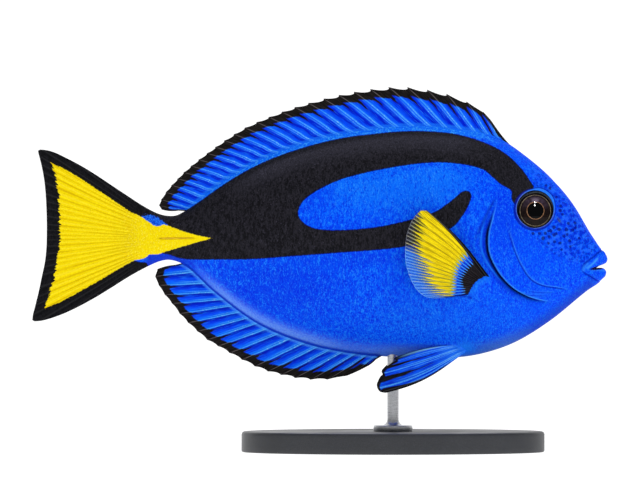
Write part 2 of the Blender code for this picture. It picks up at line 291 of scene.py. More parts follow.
patch = loop(
    [(140.6, 216.2), (146, 215.2), (152, 215.6), (158, 217.8), (163, 221.6),
     (166.5, 224.8), (160, 230), (150, 226), (140.6, 216.2)],
)


# ------------------------------------------------------------------- meshing
def solid(name, verts, quads, values, uv, where=None):
    me = bpy.data.meshes.new(name)
    me.vertices.add(len(verts))
    me.vertices.foreach_set("co", np.asarray(verts, np.float32).ravel())
    n = len(quads)
    me.loops.add(n * 4)
    me.loops.foreach_set("vertex_index", np.asarray(quads, np.int32).ravel())
    me.polygons.add(n)
    me.polygons.foreach_set("loop_start", np.arange(0, n * 4, 4, dtype=np.int32))
    me.update(calc_edges=True)
    for key, value in values.items():
        layer = me.attributes.new(key, "FLOAT", "POINT")
        layer.data.foreach_set("value", np.asarray(value, np.float32).ravel())
    layer = me.uv_layers.new(name="OFBake")
    layer.data.foreach_set("uv", np.asarray(uv, np.float32).ravel())
    me.shade_smooth()
    obj = bpy.data.objects.new(name, me)
    bpy.context.scene.collection.objects.link(obj)
    return obj


def strip(ids, flip=False):
    """Quads between the lines of an index grid, as corner indices into the grid."""
    a, b, c, d = ids[:-1, :-1], ids[:-1, 1:], ids[1:, 1:], ids[1:, :-1]
    q = np.stack([a, b, c, d], -1).reshape(-1, 4)
    return q[:, ::-1] if flip else q


def normals(p):
    di = np.gradient(p, axis=0)
    dj = np.gradient(p, axis=1)
    n = np.cross(dj, di)
    size = np.linalg.norm(n, axis=-1, keepdims=True)
    return n / np.maximum(size, 1e-12)


# ---------------------------------------------------------------------- skin
def lines_along():
    parts = [
        40 + 6 * (1 - np.cos(np.linspace(0, math.pi / 2, 9))),
        np.linspace(46, 131, 64), np.linspace(131, 215, 60),
        np.linspace(215, 400, 74), np.linspace(400, 470, 32),
        np.linspace(470, 492, 18), np.linspace(492, 502, 27),
        np.linspace(502, EYE_U - EYE_OPEN, 17),
        np.linspace(EYE_U - EYE_OPEN, EYE_U + EYE_OPEN, 47),
        np.linspace(EYE_U + EYE_OPEN, 590, 36), np.linspace(590, 599, 16),
        599 + 8 * np.sin(np.linspace(0, math.pi / 2, 15)),
    ]
    return np.concatenate([parts[0]] + [p[1:] for p in parts[1:]])


def levels():
    h = float(belly(EYE_U) - back(EYE_U)) / 2
    t0 = float(t_at(EYE_U, ORBIT_V))
    a, b = t0 - EYE_OPEN / h, t0 + EYE_OPEN / h
    k = np.linspace(0, 1, 69)
    low = -1 + (a + 1) * (0.4 * k + 0.6 * (1 - np.cos(k * math.pi / 2)))
    k = np.linspace(0, 1, 27)
    top = b + (1 - b) * (0.4 * k + 0.6 * np.sin(k * math.pi / 2))
    return np.concatenate([low, np.linspace(a, b, 27)[1:], top[1:]]), t0, h


def orbit_warp(s, t, u, v, t0, h):
    """Bends the square of grid lines round the eye into the round rim of its opening."""
    p = np.stack(np.broadcast_arrays(s - EYE_U, (t0 - t) * h), -1)
    m = np.abs(p).max(-1)
    e = np.maximum(np.linalg.norm(p, axis=-1), 1e-9)
    w = step(EYE_OPEN, 29, m)
    hold = step(0.99, 0.9, t) * (m < 29)
    ru = ORBIT_U + p[..., 0] * m / e
    rv = ORBIT_V + p[..., 1] * m / e
    k = (1 - w) * hold
    return u + (ru - u) * k, v + (rv - v) * k, m


def make_skin():
    s_line, (t_line, t0, h) = lines_along(), levels()
    s, t = s_line[:, None], t_line[None, :]
    u = station(s, t)
    v = v_at(u, t)
    u, v = muzzle(s, t, u, v)
    u, v, m = orbit_warp(s, t, u, v, t0, h)
    y = thickness(u, np.where((m > 30) & (np.abs(t) > 0.985), t, t_at(u, v)))
    k = np.clip((s - 590) / 17, 0, 1)
    u0 = station(590.0, t)
    y = np.where(s > 590, thickness(u0, t) * (1 - 0.30 * k) * np.sqrt(1 - k**2.6), y)
    y = y * np.sqrt(np.clip(1 - ((44 - s) / 4).clip(0) ** 2, 0, 1))
    shape = u.shape
    q = np.stack([u.ravel(), v.ravel()], -1)
    rim = np.zeros(shape, bool)
    rim[0] = rim[-1] = True
    rim[:, 0] = rim[:, -1] = True
    y[rim] = 0
    p = np.stack([X(u), y, Z(v)], -1)
    n = normals(p)

    rise = np.zeros(shape)  # millimetres along the normal

    def line_at(points):
        return (a.reshape(shape) for a in nearest(run(points), q))

    # gill opening, and the folds of skin behind it
    d, side, along = line_at([(497.5, 193), (494, 206), (490.6, 219), (487.2, 232), (486.5, 243.5),
                              (488.3, 254.8), (494, 267.2), (501.8, 278.4), (513, 289),
                              (527, 296.6), (539, 300.3), (553, 303)])
    fade = step(0.06, 0.30, along) * step(1.0, 0.80, along)
    front = side < 0
    rise += np.where(
        front,
        0.55 * step(0, 1.4, d) * bell(d, 10) + 0.16 * bell(d - 1.9, 1.1),
        -1.10 * bell(d, 1.9) - 0.30 * bell(d, 6.5),
    ) * fade * (d < 40)
    slit_mm = np.where(front, d, -d)
    # gap: painted shade in the gill opening, darkest in the slit
    gap = np.where(front, bell(d, 0.5), bell(d, 1.75)) * fade
    # painted highlight along the opercle's edge, in front of the slit
    gill_edge_highlight = bell(slit_mm - 1.15, 0.62) * step(0.02, 0.2, along) * step(1.0, 0.9, along)
    # painted shade on the skin behind the gill slit, before the fold
    shade_behind_slit = bell(slit_mm + 3.6, 3.4) * step(0.10, 0.25, along) * step(0.95, 0.6, along)
    d, side, along = line_at([(488, 208), (484.6, 217), (482, 226), (480.4, 236), (480.2, 247),
                              (483.4, 257), (487.5, 264.6), (493, 272), (501, 281.5), (510, 290)])
    fade = step(0.0, 0.3, along) * step(1.0, 0.6, along)
    rise += (0.28 * bell(d, 1.4) - 0.12 * bell(d - 2.6, 1.6)) * fade
    # painted highlight along the ridge of the fold
    fold_ridge_highlight = bell(d, 0.9) * fade
    d, side, along = line_at([(495.5, 197), (491.4, 204), (487, 212), (483.2, 220), (478.2, 230),
                              (474.2, 240), (472, 248)])
    fade = step(0.0, 0.15, along) * step(1.0, 0.6, along)
    rise += -0.20 * bell(d, 1.3) * fade
    # painted shade in the crease of the shoulder
    crease_shade = bell(d, 1.2) * fade * 0.75
    rise += 0.10 * bell(d - 4.0, 2.0) * fade

    # edge of the preopercle, and the wrinkles under it
    d, side, along = line_at([(504.6, 213), (505.9, 221), (509.4, 236), (514.4, 251.5), (521.4, 266.6),
                              (530, 278.6), (541.5, 285), (556, 287.4), (571, 290)])
    fade = step(0.0, 0.30, along) * step(1.0, 0.86, along)
    sd = d * -side
    rise += (-0.30 * bell(sd + 0.5, 0.9) + 0.15 * bell(sd - 1.2, 1.1)) * fade
    # painted shade in the groove of the preopercle, and painted highlight on the ridge beside it
    plate_shade = bell(sd + 0.5, 0.7) * fade
    plate_highlight = 0.75 * bell(sd - 0.7, 0.5) * fade
    for line in ([(517, 291.6), (526, 294.4), (538, 295.6), (550, 295)],
                 [(524, 289.3), (534, 292), (546, 292.6), (557, 291.6)]):
        d, side, along = line_at(line)
        fade = step(0.0, 0.3, along) * step(1.0, 0.6, along)
        rise += -0.14 * bell(d, 0.8) * fade
        # the same painted shade and highlight along each wrinkle
        plate_shade = np.maximum(plate_shade, 0.5 * bell(d, 0.6) * fade)
        plate_highlight = np.maximum(plate_highlight, 0.3 * bell(d - 1.1, 0.5) * fade)

    # orbit
    e = np.hypot(u - ORBIT_U, v - ORBIT_V)
    lid = ((u - ORBIT_U) * 0.6 - (v - ORBIT_V) * 0.8) / np.maximum(e, 1e-6)
    ring = step(34, 26, m)
    rise += ring * (
        0.26 * bell(e - EYE_OPEN, 7) + 0.30 * bell(e - EYE_OPEN - 0.7, 0.95)
        - 0.26 * bell(e - EYE_OPEN - 2.9, 1.0) - 0.10 * bell(e - EYE_OPEN - 5.6, 0.9)
    )
    gap_ = EYE_OPEN * 2 / 26
    well = m < EYE_OPEN - 0.01
    hop = np.clip((EYE_OPEN - m) / gap_, 0, None)
    depth = np.interp(hop, [0, 1, 2, 4, 13], [0, 1.1, 2.8, 4.3, 4.9])
    wide = np.interp(hop, [0, 1, 2, 4, 13], [EYE_OPEN, EYE_OPEN + 0.5, EYE_OPEN + 0.1, 13.5, 0])
    scale = np.where(well, wide / np.maximum(e, 1e-6), 1)
    p[..., 0] = np.where(well, X(ORBIT_U + (u - ORBIT_U) * scale), p[..., 0])
    p[..., 2] = np.where(well, Z(ORBIT_V + (v - ORBIT_V) * scale), p[..., 2])
    rise = np.where(well, -depth, rise)

    # lips: a roll round the cleft, with a crease where it meets the cheek
    d, side, along = line_at([(603.2, 248.9), (599.6, 251.4), (596.5, 253.9), (592.5, 257.2), (587.9, 260.6),
                              (583.6, 264.0), (581.5, 267.0), (581.2, 269.6), (582.6, 271.9), (585.4, 273.8),
                              (589.6, 276.2), (593.9, 279.1), (597.4, 281.1), (600.2, 282.9)])
    sd = -d * side
    fade = step(0.0, 0.05, along) * step(1.0, 0.93, along) * (u > 570)
    rise += fade * (-0.50 * bell(d, 0.9) + 0.50 * bell(sd - 3.4, 2.2) * (sd > 0))
    # painted shade in the crease round the lips
    lip_crease_shade = bell(d, 0.75) * fade * (1 - 0.55 * bell(along - 0.56, 0.10))
    # painted highlights along the roll of the lips
    d, side, along = line_at([(598.4, 256.0), (595.5, 259.6), (592.4, 263.0), (589.4, 265.7), (586.9, 267.6)])
    lip_highlight = bell(d, 1.1) * step(0.0, 0.35, along)
    d, side, along = line_at([(589.5, 261.2), (585.6, 264.6), (583.2, 267.6), (582.8, 270.6)])
    lip_highlight = np.maximum(lip_highlight, 0.75 * bell(d, 0.8) * step(0, 0.4, along))
    d, side, along = line_at([(590.5, 270.6), (595, 270.5), (600, 270.3), (604, 270.6)])
    lip_highlight = np.maximum(lip_highlight, 0.5 * bell(d, 0.6))
    d, side, along = line_at([(602.6, 267.5), (598, 267.9), (594, 268.6), (591, 269.1), (588.0, 269.5)])
    fade = step(1.0, 0.72, along) * (u > 578)
    rise += -0.95 * bell(d, 0.9) * fade * (u < 602)
    # painted shade along the cleft between the closed lips
    mouth = bell(d, 0.85) * fade

    # nostril
    a_, b_ = u - 558.2, v - 220.3
    d = np.hypot((a_ * 0.64 + b_ * 0.77) * 0.42, a_ * 0.77 - b_ * 0.64)
    rise += -0.7 * bell(d, 1.1) + 0.22 * bell(d - 2.0, 0.8)
    nostril = bell(d, 1.15)

    # fleshy lobe that covers the root of the pectoral fin
    d, side, along = line_at([(489.5, 274.9), (487.3, 275.5), (482.9, 276.5), (479.3, 278.2), (475.1, 281.4),
                              (472.7, 284.2), (470.7, 287.5), (468.6, 291.6), (466.4, 295.4)])
    sd = -d * side
    near_arc = step(0.0, 0.12, along) * step(1.0, 0.9, along)
    rise += np.where(sd > -1.2, 1.15 * step(-1.2, 1.6, sd) * bell(np.maximum(sd - 2, 0), 9) * near_arc, 0)
    # painted highlight on the top of the lobe
    root_highlight = bell(sd - 2.4, 2.6) * (sd > 0) * near_arc * step(462, 476, u)
    d, side, along = line_at([(455, 295.4), (460, 294.9), (464.6, 295.8), (468.2, 297.1), (473, 298.8)])
    # painted shade in the crease under the pectoral root
    crease_shade = np.maximum(crease_shade, 0.9 * bell(d, 0.8) * step(1.0, 0.7, along) * step(0.0, 0.2, along))

    # keel and groove of the folded spine on the tail stalk
    d = np.abs(v - 238.2 + 0.012 * (u - 177))
    span = step(155, 162, u) * step(199, 190, u)
    rise += span * (-0.40 * bell(d, 0.9) + 0.14 * bell(d - 2.2, 1.2))
    groove_shade = bell(d, 0.8) * span

    # rays of the tail fin, and its fleshy root
    ang = np.degrees(np.arctan2(v - 238, 178 - u))
    ray = ang / 2.9 + 0.30 * np.sin(ang / 5.5) + 0.18 * np.sin(ang / 2.1 + 1)
    tail = step(146, 124, u)
    rise += tail * 0.11 * np.cos(2 * math.pi * ray)
    rise += tail * 0.035 * np.cos(2 * math.pi * (ray * 2.0 + 0.25)) * step(110, 70, u)

    # low folds of the flank
    rise += 0.05 * np.sin(u / 19 + v / 41) * step(200, 260, u) * step(470, 420, u)

    inner = step(0, 0.0009, y)
    rise = rise * np.where(u > 150, inner, 1)
    rise[rim] = 0
    p = p + n * (rise * 0.001)[..., None]
    p[rim, 1] = 0
    p[..., 1] = np.where(rim, 0, np.maximum(p[..., 1], 0.00004))

    hb, ht = belly(u) - v, v - back(u)
    pale = bell(hb - 4.0, 6.5) * step(188, 226, u) * (1 - 0.45 * step(312, 350, u)) * step(480, 400, u)
    base_line = bell(hb - 0.9, 1.2) * step(178, 190, u) * step(384, 376, u)
    # low: painted shade along the lower outline of the belly and the jaw
    low = step(17, 2, hb) * step(366, 404, u) * step(601, 588, u)
    shade = np.clip(shade_behind_slit + 0.5 * crease_shade, 0, 1)
    strip_dim = step(205, 176, u) * step(140, 150, u) * step(251, 256, v)
    cheek = loop([(527, 232), (534, 241), (549, 251), (566, 260), (583, 265)],
                 [(583, 265), (601, 249)],
                 [(601, 249), (581, 213), (561, 186), (541, 168), (531, 160)],
                 [(531, 160), (527, 232)])
    freckle = step(-2.5, 5.0, inside(cheek, q)).reshape(shape)
    freckle = freckle * step(EYE_OPEN + 3.0, EYE_OPEN + 4.6, e) * step(2.5, 8, ht)
    freckle = freckle * (1 - 0.25 * step(212, 180, v))

    def blob(cu, cv, wu, wv):
        return np.exp(-(((u - cu) / wu) ** 2) - ((v - cv) / wv) ** 2)

    # less painted shade where the pelvic fin is rooted
    low = low * (1 - 0.85 * blob(467, 348.5, 10.0, 6.5))
    # broad lighter and darker patches of the flank: partly the fish's own tone, partly painted light and shade
    tone_light_and_shade = (0.9 * blob(385, 190, 75, 22) + 0.6 * blob(446, 180, 28, 16) + 0.5 * blob(440, 318, 90, 34)
            - 1.0 * blob(280, 287, 76, 34) - 0.9 * blob(504, 215, 20, 48) - 0.8 * blob(566, 224, 22, 44)
            - 0.6 * blob(345, 232, 52, 9) - 0.7 * blob(311, 197, 15, 15) - 0.8 * blob(366, 256, 45, 9)
            - 0.5 * blob(455, 250, 16, 30))
    values = {
        "black": inside(palette, q), "gold": inside(gold, q), "patch": inside(patch, q),
        "pale": pale, "low": low, "shade": shade, "strip": strip_dim, "base_line": base_line,
        "gap": gap, "fold_highlight": np.clip(fold_ridge_highlight + 0.8 * root_highlight + 1.1 * blob(465.0, 347.6, 9.5, 6.5), 0, 1),
        "painted_crease_shade": np.clip(plate_shade + lip_crease_shade + crease_shade, 0, 1),
        "painted_highlight": np.clip(plate_highlight + gill_edge_highlight + 1.15 * lip_highlight, 0, 1), "lid": lid, "tone_light_and_shade": tone_light_and_shade,
        "mouth": mouth, "nostril": nostril, "freckle": freckle,
        "groove_shade": groove_shade, "ray": ray, "tail": tail, "orbit": e, "along": u, "height": v,
        "back": ht,
    }
    values = {k: np.asarray(a, float).reshape(shape) for k, a in values.items()}

    ids = np.arange(u.size).reshape(shape)
    other = ids.copy()
    free = ~rim
    other[free] = u.size + np.arange(free.sum())
    mirror = p[free] * (1, -1, 1)
    verts = np.vstack([p.reshape(-1, 3), mirror])
    values = {k: np.concatenate([a.ravel(), a[free]]) for k, a in values.items()}
    run_ = np.linalg.norm(np.diff(p, axis=1), axis=-1)
    arc = np.concatenate([np.zeros((shape[0], 1)), np.cumsum(run_, 1)], 1)
    arc = (arc - arc[:, -1:] / 2) / arc[:, -1].max()
    map_u = 0.01 + 0.98 * (u - 32) / 576
    sides = []
    for lift in (0.75, 0.25):
        sides.append(np.stack([map_u, lift + arc * 0.46], -1).reshape(-1, 2))
    ql, qr = strip(ids), strip(ids, True)
    uv = np.vstack([sides[0][ql.ravel()], sides[1][qr.ravel()]])
    quads = np.vstack([ql, strip(other, True)])
    return solid("skin", verts, quads, values, uv)


# ---------------------------------------------------------------------- fins
def make_sheet(name, mid, half, values, uv_of, normal=None):
    """A thin closed solid round a middle surface, half thick on each side."""
    n = normals(mid) if normal is None else np.broadcast_to(normal, mid.shape)
    a, b = mid + n * half[..., None], mid - n * half[..., None]
    shape = half.shape
    ids = np.arange(half.size).reshape(shape)
    oth = ids + half.size
    rim = np.concatenate([ids[:, 0], ids[-1, 1:], ids[-2::-1, -1], ids[0, -2:0:-1]])
    nxt = np.roll(rim, -1)
    band = np.stack([rim, nxt, nxt + half.size, rim + half.size], -1)
    front, rear = strip(ids), strip(oth, True)
    quads = np.vstack([front, rear, band])
    w = uv_of.reshape(-1, 2)
    lift = np.array([0, 0.5])
    flat = np.vstack([w * (0.96, 0.46) + 0.02, w * (0.96, 0.46) + 0.02 + lift])
    uv = flat[quads.ravel()]
    values = {k: np.concatenate([x.ravel(), x.ravel()]) for k, x in values.items()}
    return solid(name, np.vstack([a.reshape(-1, 3), b.reshape(-1, 3)]), quads, values, uv)


def box_uv(u, v):
    return np.stack(
        [(u - u.min()) / np.ptp(u), 1 - (v - v.min()) / np.ptp(v)], -1
    )


# tips of the rays, front to rear, and how far forward of its tip each ray is rooted
dorsal_tip = (
    fair((-1, 500.2), (-0.7, 494.6), (-0.35, 489.4), (0, 483.4), (1, 466.4), (2, 446.3),
         (3, 426.9), (4, 407.1), (5, 388.3), (6, 370), (7, 353.6), (8, 338.4), (9, 323.4),
         (10, 308.1), (11, 294.4), (12, 281.5), (13, 268.4), (14, 256.4), (15, 244.4),
         (16, 233.6), (17, 224), (18, 215), (19, 206.6), (20, 198.3), (21, 190.6),
         (22, 183.4), (23, 177.2), (24, 171.2), (25, 165.6), (26, 161.0), (27, 159.0),
         (28, 161.6)),
    fair((-1, 133.8), (-0.7, 125.6), (-0.35, 118.2), (0, 112.0), (1, 101.3), (2, 93.6),
         (3, 89.5), (4, 86.9), (5, 86.9), (6, 88.9), (7, 91.6), (8, 94.8), (9, 98.5),
         (10, 102.8), (11, 107), (12, 111.7), (13, 116.9), (14, 122), (15, 127.7),
         (16, 134.2), (17, 140.5), (18, 147), (19, 153.2), (20, 159.6), (21, 166),
         (22, 172.4), (23, 178.8), (24, 185.3), (25, 192.2), (26, 199.6), (27, 205.4),
         (28, 209.6)),
)
dorsal_lead = fair((-1, 9.0), (0, 15), (1, 20.6), (2, 28), (3, 33.6), (4, 38.4), (5, 40.8),
                   (7, 42.8), (10, 43.5), (14, 43.5), (17, 42.4), (20, 39), (23, 34), (26, 28.6),
                   (27, 27), (28, 23.2))
anal_tip = (
    fair((0, 362), (0.6, 354.5), (1, 347.4), (2, 327.3), (3, 310.4), (4, 295), (5, 281),
         (6, 267.6), (7, 254.6), (8, 241.8), (9, 229.4), (10, 217.8), (11, 207), (12, 197.2),
         (13, 188), (14, 179.5), (15, 171.8), (16, 164.6), (17, 158.8), (18, 155.2), (19, 157.4)),
    fair((0, 368), (0.6, 372.6), (1, 375.6), (2, 379.6), (3, 379.8), (4, 378.1), (5, 375),
         (6, 371.5), (7, 366.4), (8, 359.8), (9, 353), (10, 346.2), (11, 339.8), (12, 331.4),
         (13, 322.8), (14, 313.6), (15, 303.4), (16, 294.6), (17, 285.4), (18, 276.6), (19, 269)),
)
anal_lead = fair((0, 19.5), (0.6, 24.6), (1, 29.0), (2, 39.6), (3, 45.2), (4, 48.0), (5, 49.6), (6, 50.2),
                 (7, 49.8), (8, 49.2), (9, 49.4), (10, 50), (11, 50.6), (12, 51.6), (13, 52.4),
                 (14, 52.8), (15, 52.4), (16, 50.6), (17, 46.6), (18, 38.6), (19, 24))


def median_fin(name, tips, lead, foot, first, last, notch, per, rows, ridge, sign, bow, sway):
    """A fin on the median plane. sign is 1 where it rises from the back, -1 under the belly."""
    i = np.linspace(first, last, int((last - first) * per) + 1)
    tu, tv = tips[0](i), tips[1](i)
    ru = tu + lead(i)
    rv = foot(ru)
    f = i - np.floor(i)
    size = np.hypot(tu - ru, tv - rv)
    dip = 1 - np.abs(2 * f ** (0.72 if sign > 0 else 1.1) - 1) ** 2.2
    reach = 1 - notch(i) / size * dip * (i < last)
    r0 = -3.5 / size
    r = r0[:, None] + (reach - r0)[:, None] * np.linspace(0, 1, rows)[None]
    u = ru[:, None] + (tu - ru)[:, None] * r
    v = rv[:, None] + (tv - rv)[:, None] * r
    arch = np.sin(math.pi * np.clip((r - 0.27) / 0.73, 0, 1)) * bow(i)[:, None]
    arch -= np.sin(math.pi * np.clip(r / 0.27, 0, 1)) * sway(i)[:, None]
    v = v - sign * arch
    up = r * size[:, None]
    q = np.stack([u.ravel(), v.ravel()], -1)
    edge = np.stack([u[:, -1], v[:, -1]], -1)
    ends = [np.stack([u[j, :], v[j, :]], -1) for j in (0, -1)]
    rim = nearest(edge, q)[0].reshape(u.shape)
    rear = nearest(ends[1], q)[0].reshape(u.shape)
    front = nearest(ends[0], q)[0].reshape(u.shape)
    brink = np.minimum(rim, np.minimum(rear, front))
    crest = bell(np.minimum(f, 1 - f), 0.09)[:, None]
    second = bell(f - 0.19, 0.06)[:, None] * step(0.75, 0.35, r)
    mm = up * UNIT * 1000
    half = 0.12 + 0.12 * np.clip(1 - r, 0, 1)
    half += ridge * (crest + 0.6 * second) * (1 - 0.55 * np.clip(r, 0, 1))
    half += 1.1 * np.exp(-np.clip(mm + 0.3, 0, None) / 0.8) * (0.05 + 0.95 * step(0.0, 16.0, np.minimum(front, rear)))
    half *= 0.35 + 0.65 * step(0, 2.0, brink)
    wave = 0.20 * np.sin(2 * math.pi * i)[:, None] * step(0.05, 0.4, r) * step(0.0, 3, brink)
    mid = np.stack([X(u), wave * 0.001, Z(v)], -1)
    values = {"phase": np.broadcast_to(i[:, None], u.shape), "reach": r, "rim": rim,
              "rear": rear, "front": front, "up": up}
    return make_sheet(name, mid, half * 0.001, values, box_uv(u, v), (0, 1, 0))


def fan_fin(name, side, roots, tips, count, per, rows, bow, lift, spread, curl, notch, ridge, dip, stout):
    """A paired fin: rays fan out from a root on the body. side is 1 on the left."""
    i = np.linspace(0, count, count * per + 1)
    a = i / count
    ru, rv = (c(a) for c in roots)
    tu, tv = (c(a) for c in tips)
    f = i - np.floor(i)
    size = np.hypot(tu - ru, tv - rv)
    scallop = notch / size * (4 * f * (1 - f)) ** 0.8 * (i < count)
    r0 = -dip / size
    r = r0[:, None] + (1 - scallop - r0)[:, None] * np.linspace(0, 1, rows)[None]
    u = ru[:, None] + (tu - ru)[:, None] * r
    v = rv[:, None] + (tv - rv)[:, None] * r
    v = v - np.sin(math.pi * np.clip(r, 0, 1)) * (bow[0] * (1 - a) ** 2 + bow[1] * a**2)[:, None]
    up = r * size[:, None]
    y0 = side_y(ru, rv)[:, None] + lift * 0.001
    reach = up * UNIT
    y = y0 + spread * reach - curl * reach**2 - 1.3 * np.clip(-reach, 0, None)
    q = np.stack([u.ravel(), v.ravel()], -1)
    edge = np.stack([u[:, -1], v[:, -1]], -1)
    lead = np.stack([u[0, :], v[0, :]], -1)
    trail = np.stack([u[-1, :], v[-1, :]], -1)
    rim = nearest(edge, q)[0].reshape(u.shape)
    last = nearest(trail, q)[0].reshape(u.shape)
    first = nearest(lead, q)[0].reshape(u.shape)
    crest = bell(np.minimum(f, 1 - f), 0.13)[:, None]
    half = 0.11 + 0.12 * np.clip(1 - r, 0, 1) + ridge * crest * (1 - 0.6 * np.clip(r, 0, 1))
    half += 0.30 * bell(first, 1.6) * (1 - 0.6 * np.clip(r, 0, 1))
    half += stout * np.exp(-np.clip(reach * 1000, 0, None) / 1.2)
    half *= 0.4 + 0.6 * step(0, 2.0, np.minimum(rim, last))
    wave = 0.10 * np.sin(2 * math.pi * i)[:, None] * step(0.1, 0.5, r)
    mid = np.stack([X(u), side * (y + wave * 0.001), Z(v)], -1)
    values = {
        "phase": np.broadcast_to(i[:, None], u.shape), "reach": r, "rim": rim,
        "up": up, "lead": first, "fan": np.broadcast_to(a[:, None], u.shape), "trail": last,
        "togo": (1 - r) * size[:, None],
    }
    return make_sheet(name, mid, half * 0.001, values, box_uv(u, v))


# ---------------------------------------------------------------------- eyes
EYE_REACH, EYE_BULGE = 20.8, 4.1


def eye_seat():
    """Depth in millimetres of the middle of the eye, and its lean along u and v."""
    e = 6.0
    su = float(side_y(EYE_U + e, EYE_V) - side_y(EYE_U - e, EYE_V)) * 1000 / (2 * e)
    sv = float(side_y(EYE_U, EYE_V + e) - side_y(EYE_U, EYE_V - e)) * 1000 / (2 * e)
    return float(side_y(EYE_U, EYE_V)) * 1000 - 2.3, su, sv


def mirror_place(du, dv, away, seen_from):
    """Where a lamp stands whose glint shows at an offset from the pupil, on the near eye."""
    y0, su, sv = eye_seat()
    r = math.hypot(du, dv)
    slope = -EYE_BULGE * r / EYE_REACH**2 / math.sqrt(1 - (r / EYE_REACH) ** 2)
    slope -= 0.35 * 2 * r / 81 * math.exp(-r * r / 81)
    y = y0 + su * du + sv * dv + EYE_BULGE * math.sqrt(1 - (r / EYE_REACH) ** 2) + 0.35 * math.exp(-r * r / 81)
    spot = Vector((float(X(EYE_U + du)), -y * 0.001, float(Z(EYE_V + dv))))
    k = 0.001 / UNIT
    n = Vector((-(su + slope * du / r) * k, -1, (sv + slope * dv / r) * k)).normalized()
    view = (Vector(seen_from) - spot).normalized()
    return spot + (2 * n.dot(view) * n - view) * away


def make_eye(name, side):
    """A flattened ball that shows as a circle from the side, leaning with the cheek."""
    r_max, front, rear = EYE_REACH, EYE_BULGE, 3.2
    k = np.linspace(0, 1, 61)
    n_ang = 128
    a = np.linspace(0, 2 * math.pi, n_ang, endpoint=False)
    prof = [(r_max * math.sin(x * math.pi / 2), front * math.cos(x * math.pi / 2)) for x in k]
    prof += [(r_max * math.cos(x * math.pi / 2), -rear * math.sin(x * math.pi / 2)) for x in k[1::3]]
    prof = np.array(prof)
    # the lens bulges a little more over the pupil
    prof[:61, 1] += 0.35 * bell(prof[:61, 0], 9)
    y0, su, sv = eye_seat()
    du = prof[1:-1, 0][:, None] * np.cos(a)[None]
    dv = prof[1:-1, 0][:, None] * np.sin(a)[None]
    y = y0 + su * du + sv * dv + prof[1:-1, 1][:, None]
    body = np.stack([X(EYE_U + du), side * y * 0.001, Z(EYE_V + dv)], -1).reshape(-1, 3)
    poles = np.array([
        [float(X(EYE_U)), side * (y0 + prof[0, 1]) * 0.001, float(Z(EYE_V))],
        [float(X(EYE_U)), side * (y0 + prof[-1, 1]) * 0.001, float(Z(EYE_V))],
    ])
    verts = np.vstack([body, poles])
    rings = len(prof) - 2
    ids = np.arange(rings * n_ang).reshape(rings, n_ang)
    ids = np.hstack([ids, ids[:, :1]])
    faces = strip(ids, side > 0).tolist()
    top, bottom = rings * n_ang, rings * n_ang + 1
    for j in range(n_ang):
        p, q = int(ids[0, j]), int(ids[0, j + 1])
        r, s = int(ids[-1, j]), int(ids[-1, j + 1])
        faces.append([top, q, p] if side < 0 else [top, p, q])
        faces.append([bottom, r, s] if side < 0 else [bottom, s, r])
    me = bpy.data.meshes.new(name)
    me.from_pydata(verts.tolist(), [], faces)
    me.update()
    dist = np.concatenate([np.repeat(prof[1:-1, 0], n_ang), [0, 0]])
    depth = np.concatenate([np.repeat(np.arange(1, rings + 1) > 61, n_ang), [0, 1]])
    turn = np.concatenate([np.tile(a, rings), [0, 0]])
    for key, value in (("dist", dist + depth * 20), ("sweep", np.sin(turn)), ("sweep2", np.cos(turn))):
        me.attributes.new(key, "FLOAT", "POINT").data.foreach_set("value", np.asarray(value, np.float32))
    me.shade_smooth()
    obj = bpy.data.objects.new(name, me)
    bpy.context.scene.collection.objects.link(obj)
    return obj


def lathe(name, profile, around, sx=1.0, sy=1.0, at=(0, 0, 0), axis="Z"):
    """A closed turned solid from (radius, height) pairs that start and end on the axis."""
    prof = np.array(profile, float)
    a = np.linspace(0, 2 * math.pi, around, endpoint=False)
    r, h = prof[1:-1, 0][:, None], prof[1:-1, 1][:, None]
    x = r * np.cos(a)[None] * sx
    y = r * np.sin(a)[None] * sy
    z = np.broadcast_to(h, x.shape)
    body = np.stack([x, y, z], -1).reshape(-1, 3)
    ends = np.array([[0, 0, prof[0, 1]], [0, 0, prof[-1, 1]]])
    verts = np.vstack([body, ends])
    if axis == "X":
        verts = verts[:, [2, 0, 1]]
    verts = verts + np.array(at)
    rings = len(prof) - 2
    ids = np.arange(rings * around).reshape(rings, around)
    ids = np.hstack([ids, ids[:, :1]])
    up = prof[0, 1] < prof[-1, 1]
    faces = strip(ids, up).tolist()
    for j in range(around):
        p, q, s, t = int(ids[0, j]), int(ids[0, j + 1]), int(ids[-1, j]), int(ids[-1, j + 1])
        faces.append([rings * around, q, p] if up else [rings * around, p, q])
        faces.append([rings * around + 1, s, t] if up else [rings * around + 1, t, s])
    me = bpy.data.meshes.new(name)
    me.from_pydata(verts.tolist(), [], faces)
    me.update()
    me.shade_smooth()
    me.set_sharp_from_angle(angle=math.radians(50))
    obj = bpy.data.objects.new(name, me)
    bpy.context.scene.collection.objects.link(obj)
    return obj


# ----------------------------------------------------------------- materials
def rgb(r, g, b):
    def lin(c):
        c = c / 255
        return c / 12.92 if c <= 0.04045 else ((c + 0.055) / 1.055) ** 2.4

    return (lin(r), lin(g), lin(b), 1.0)


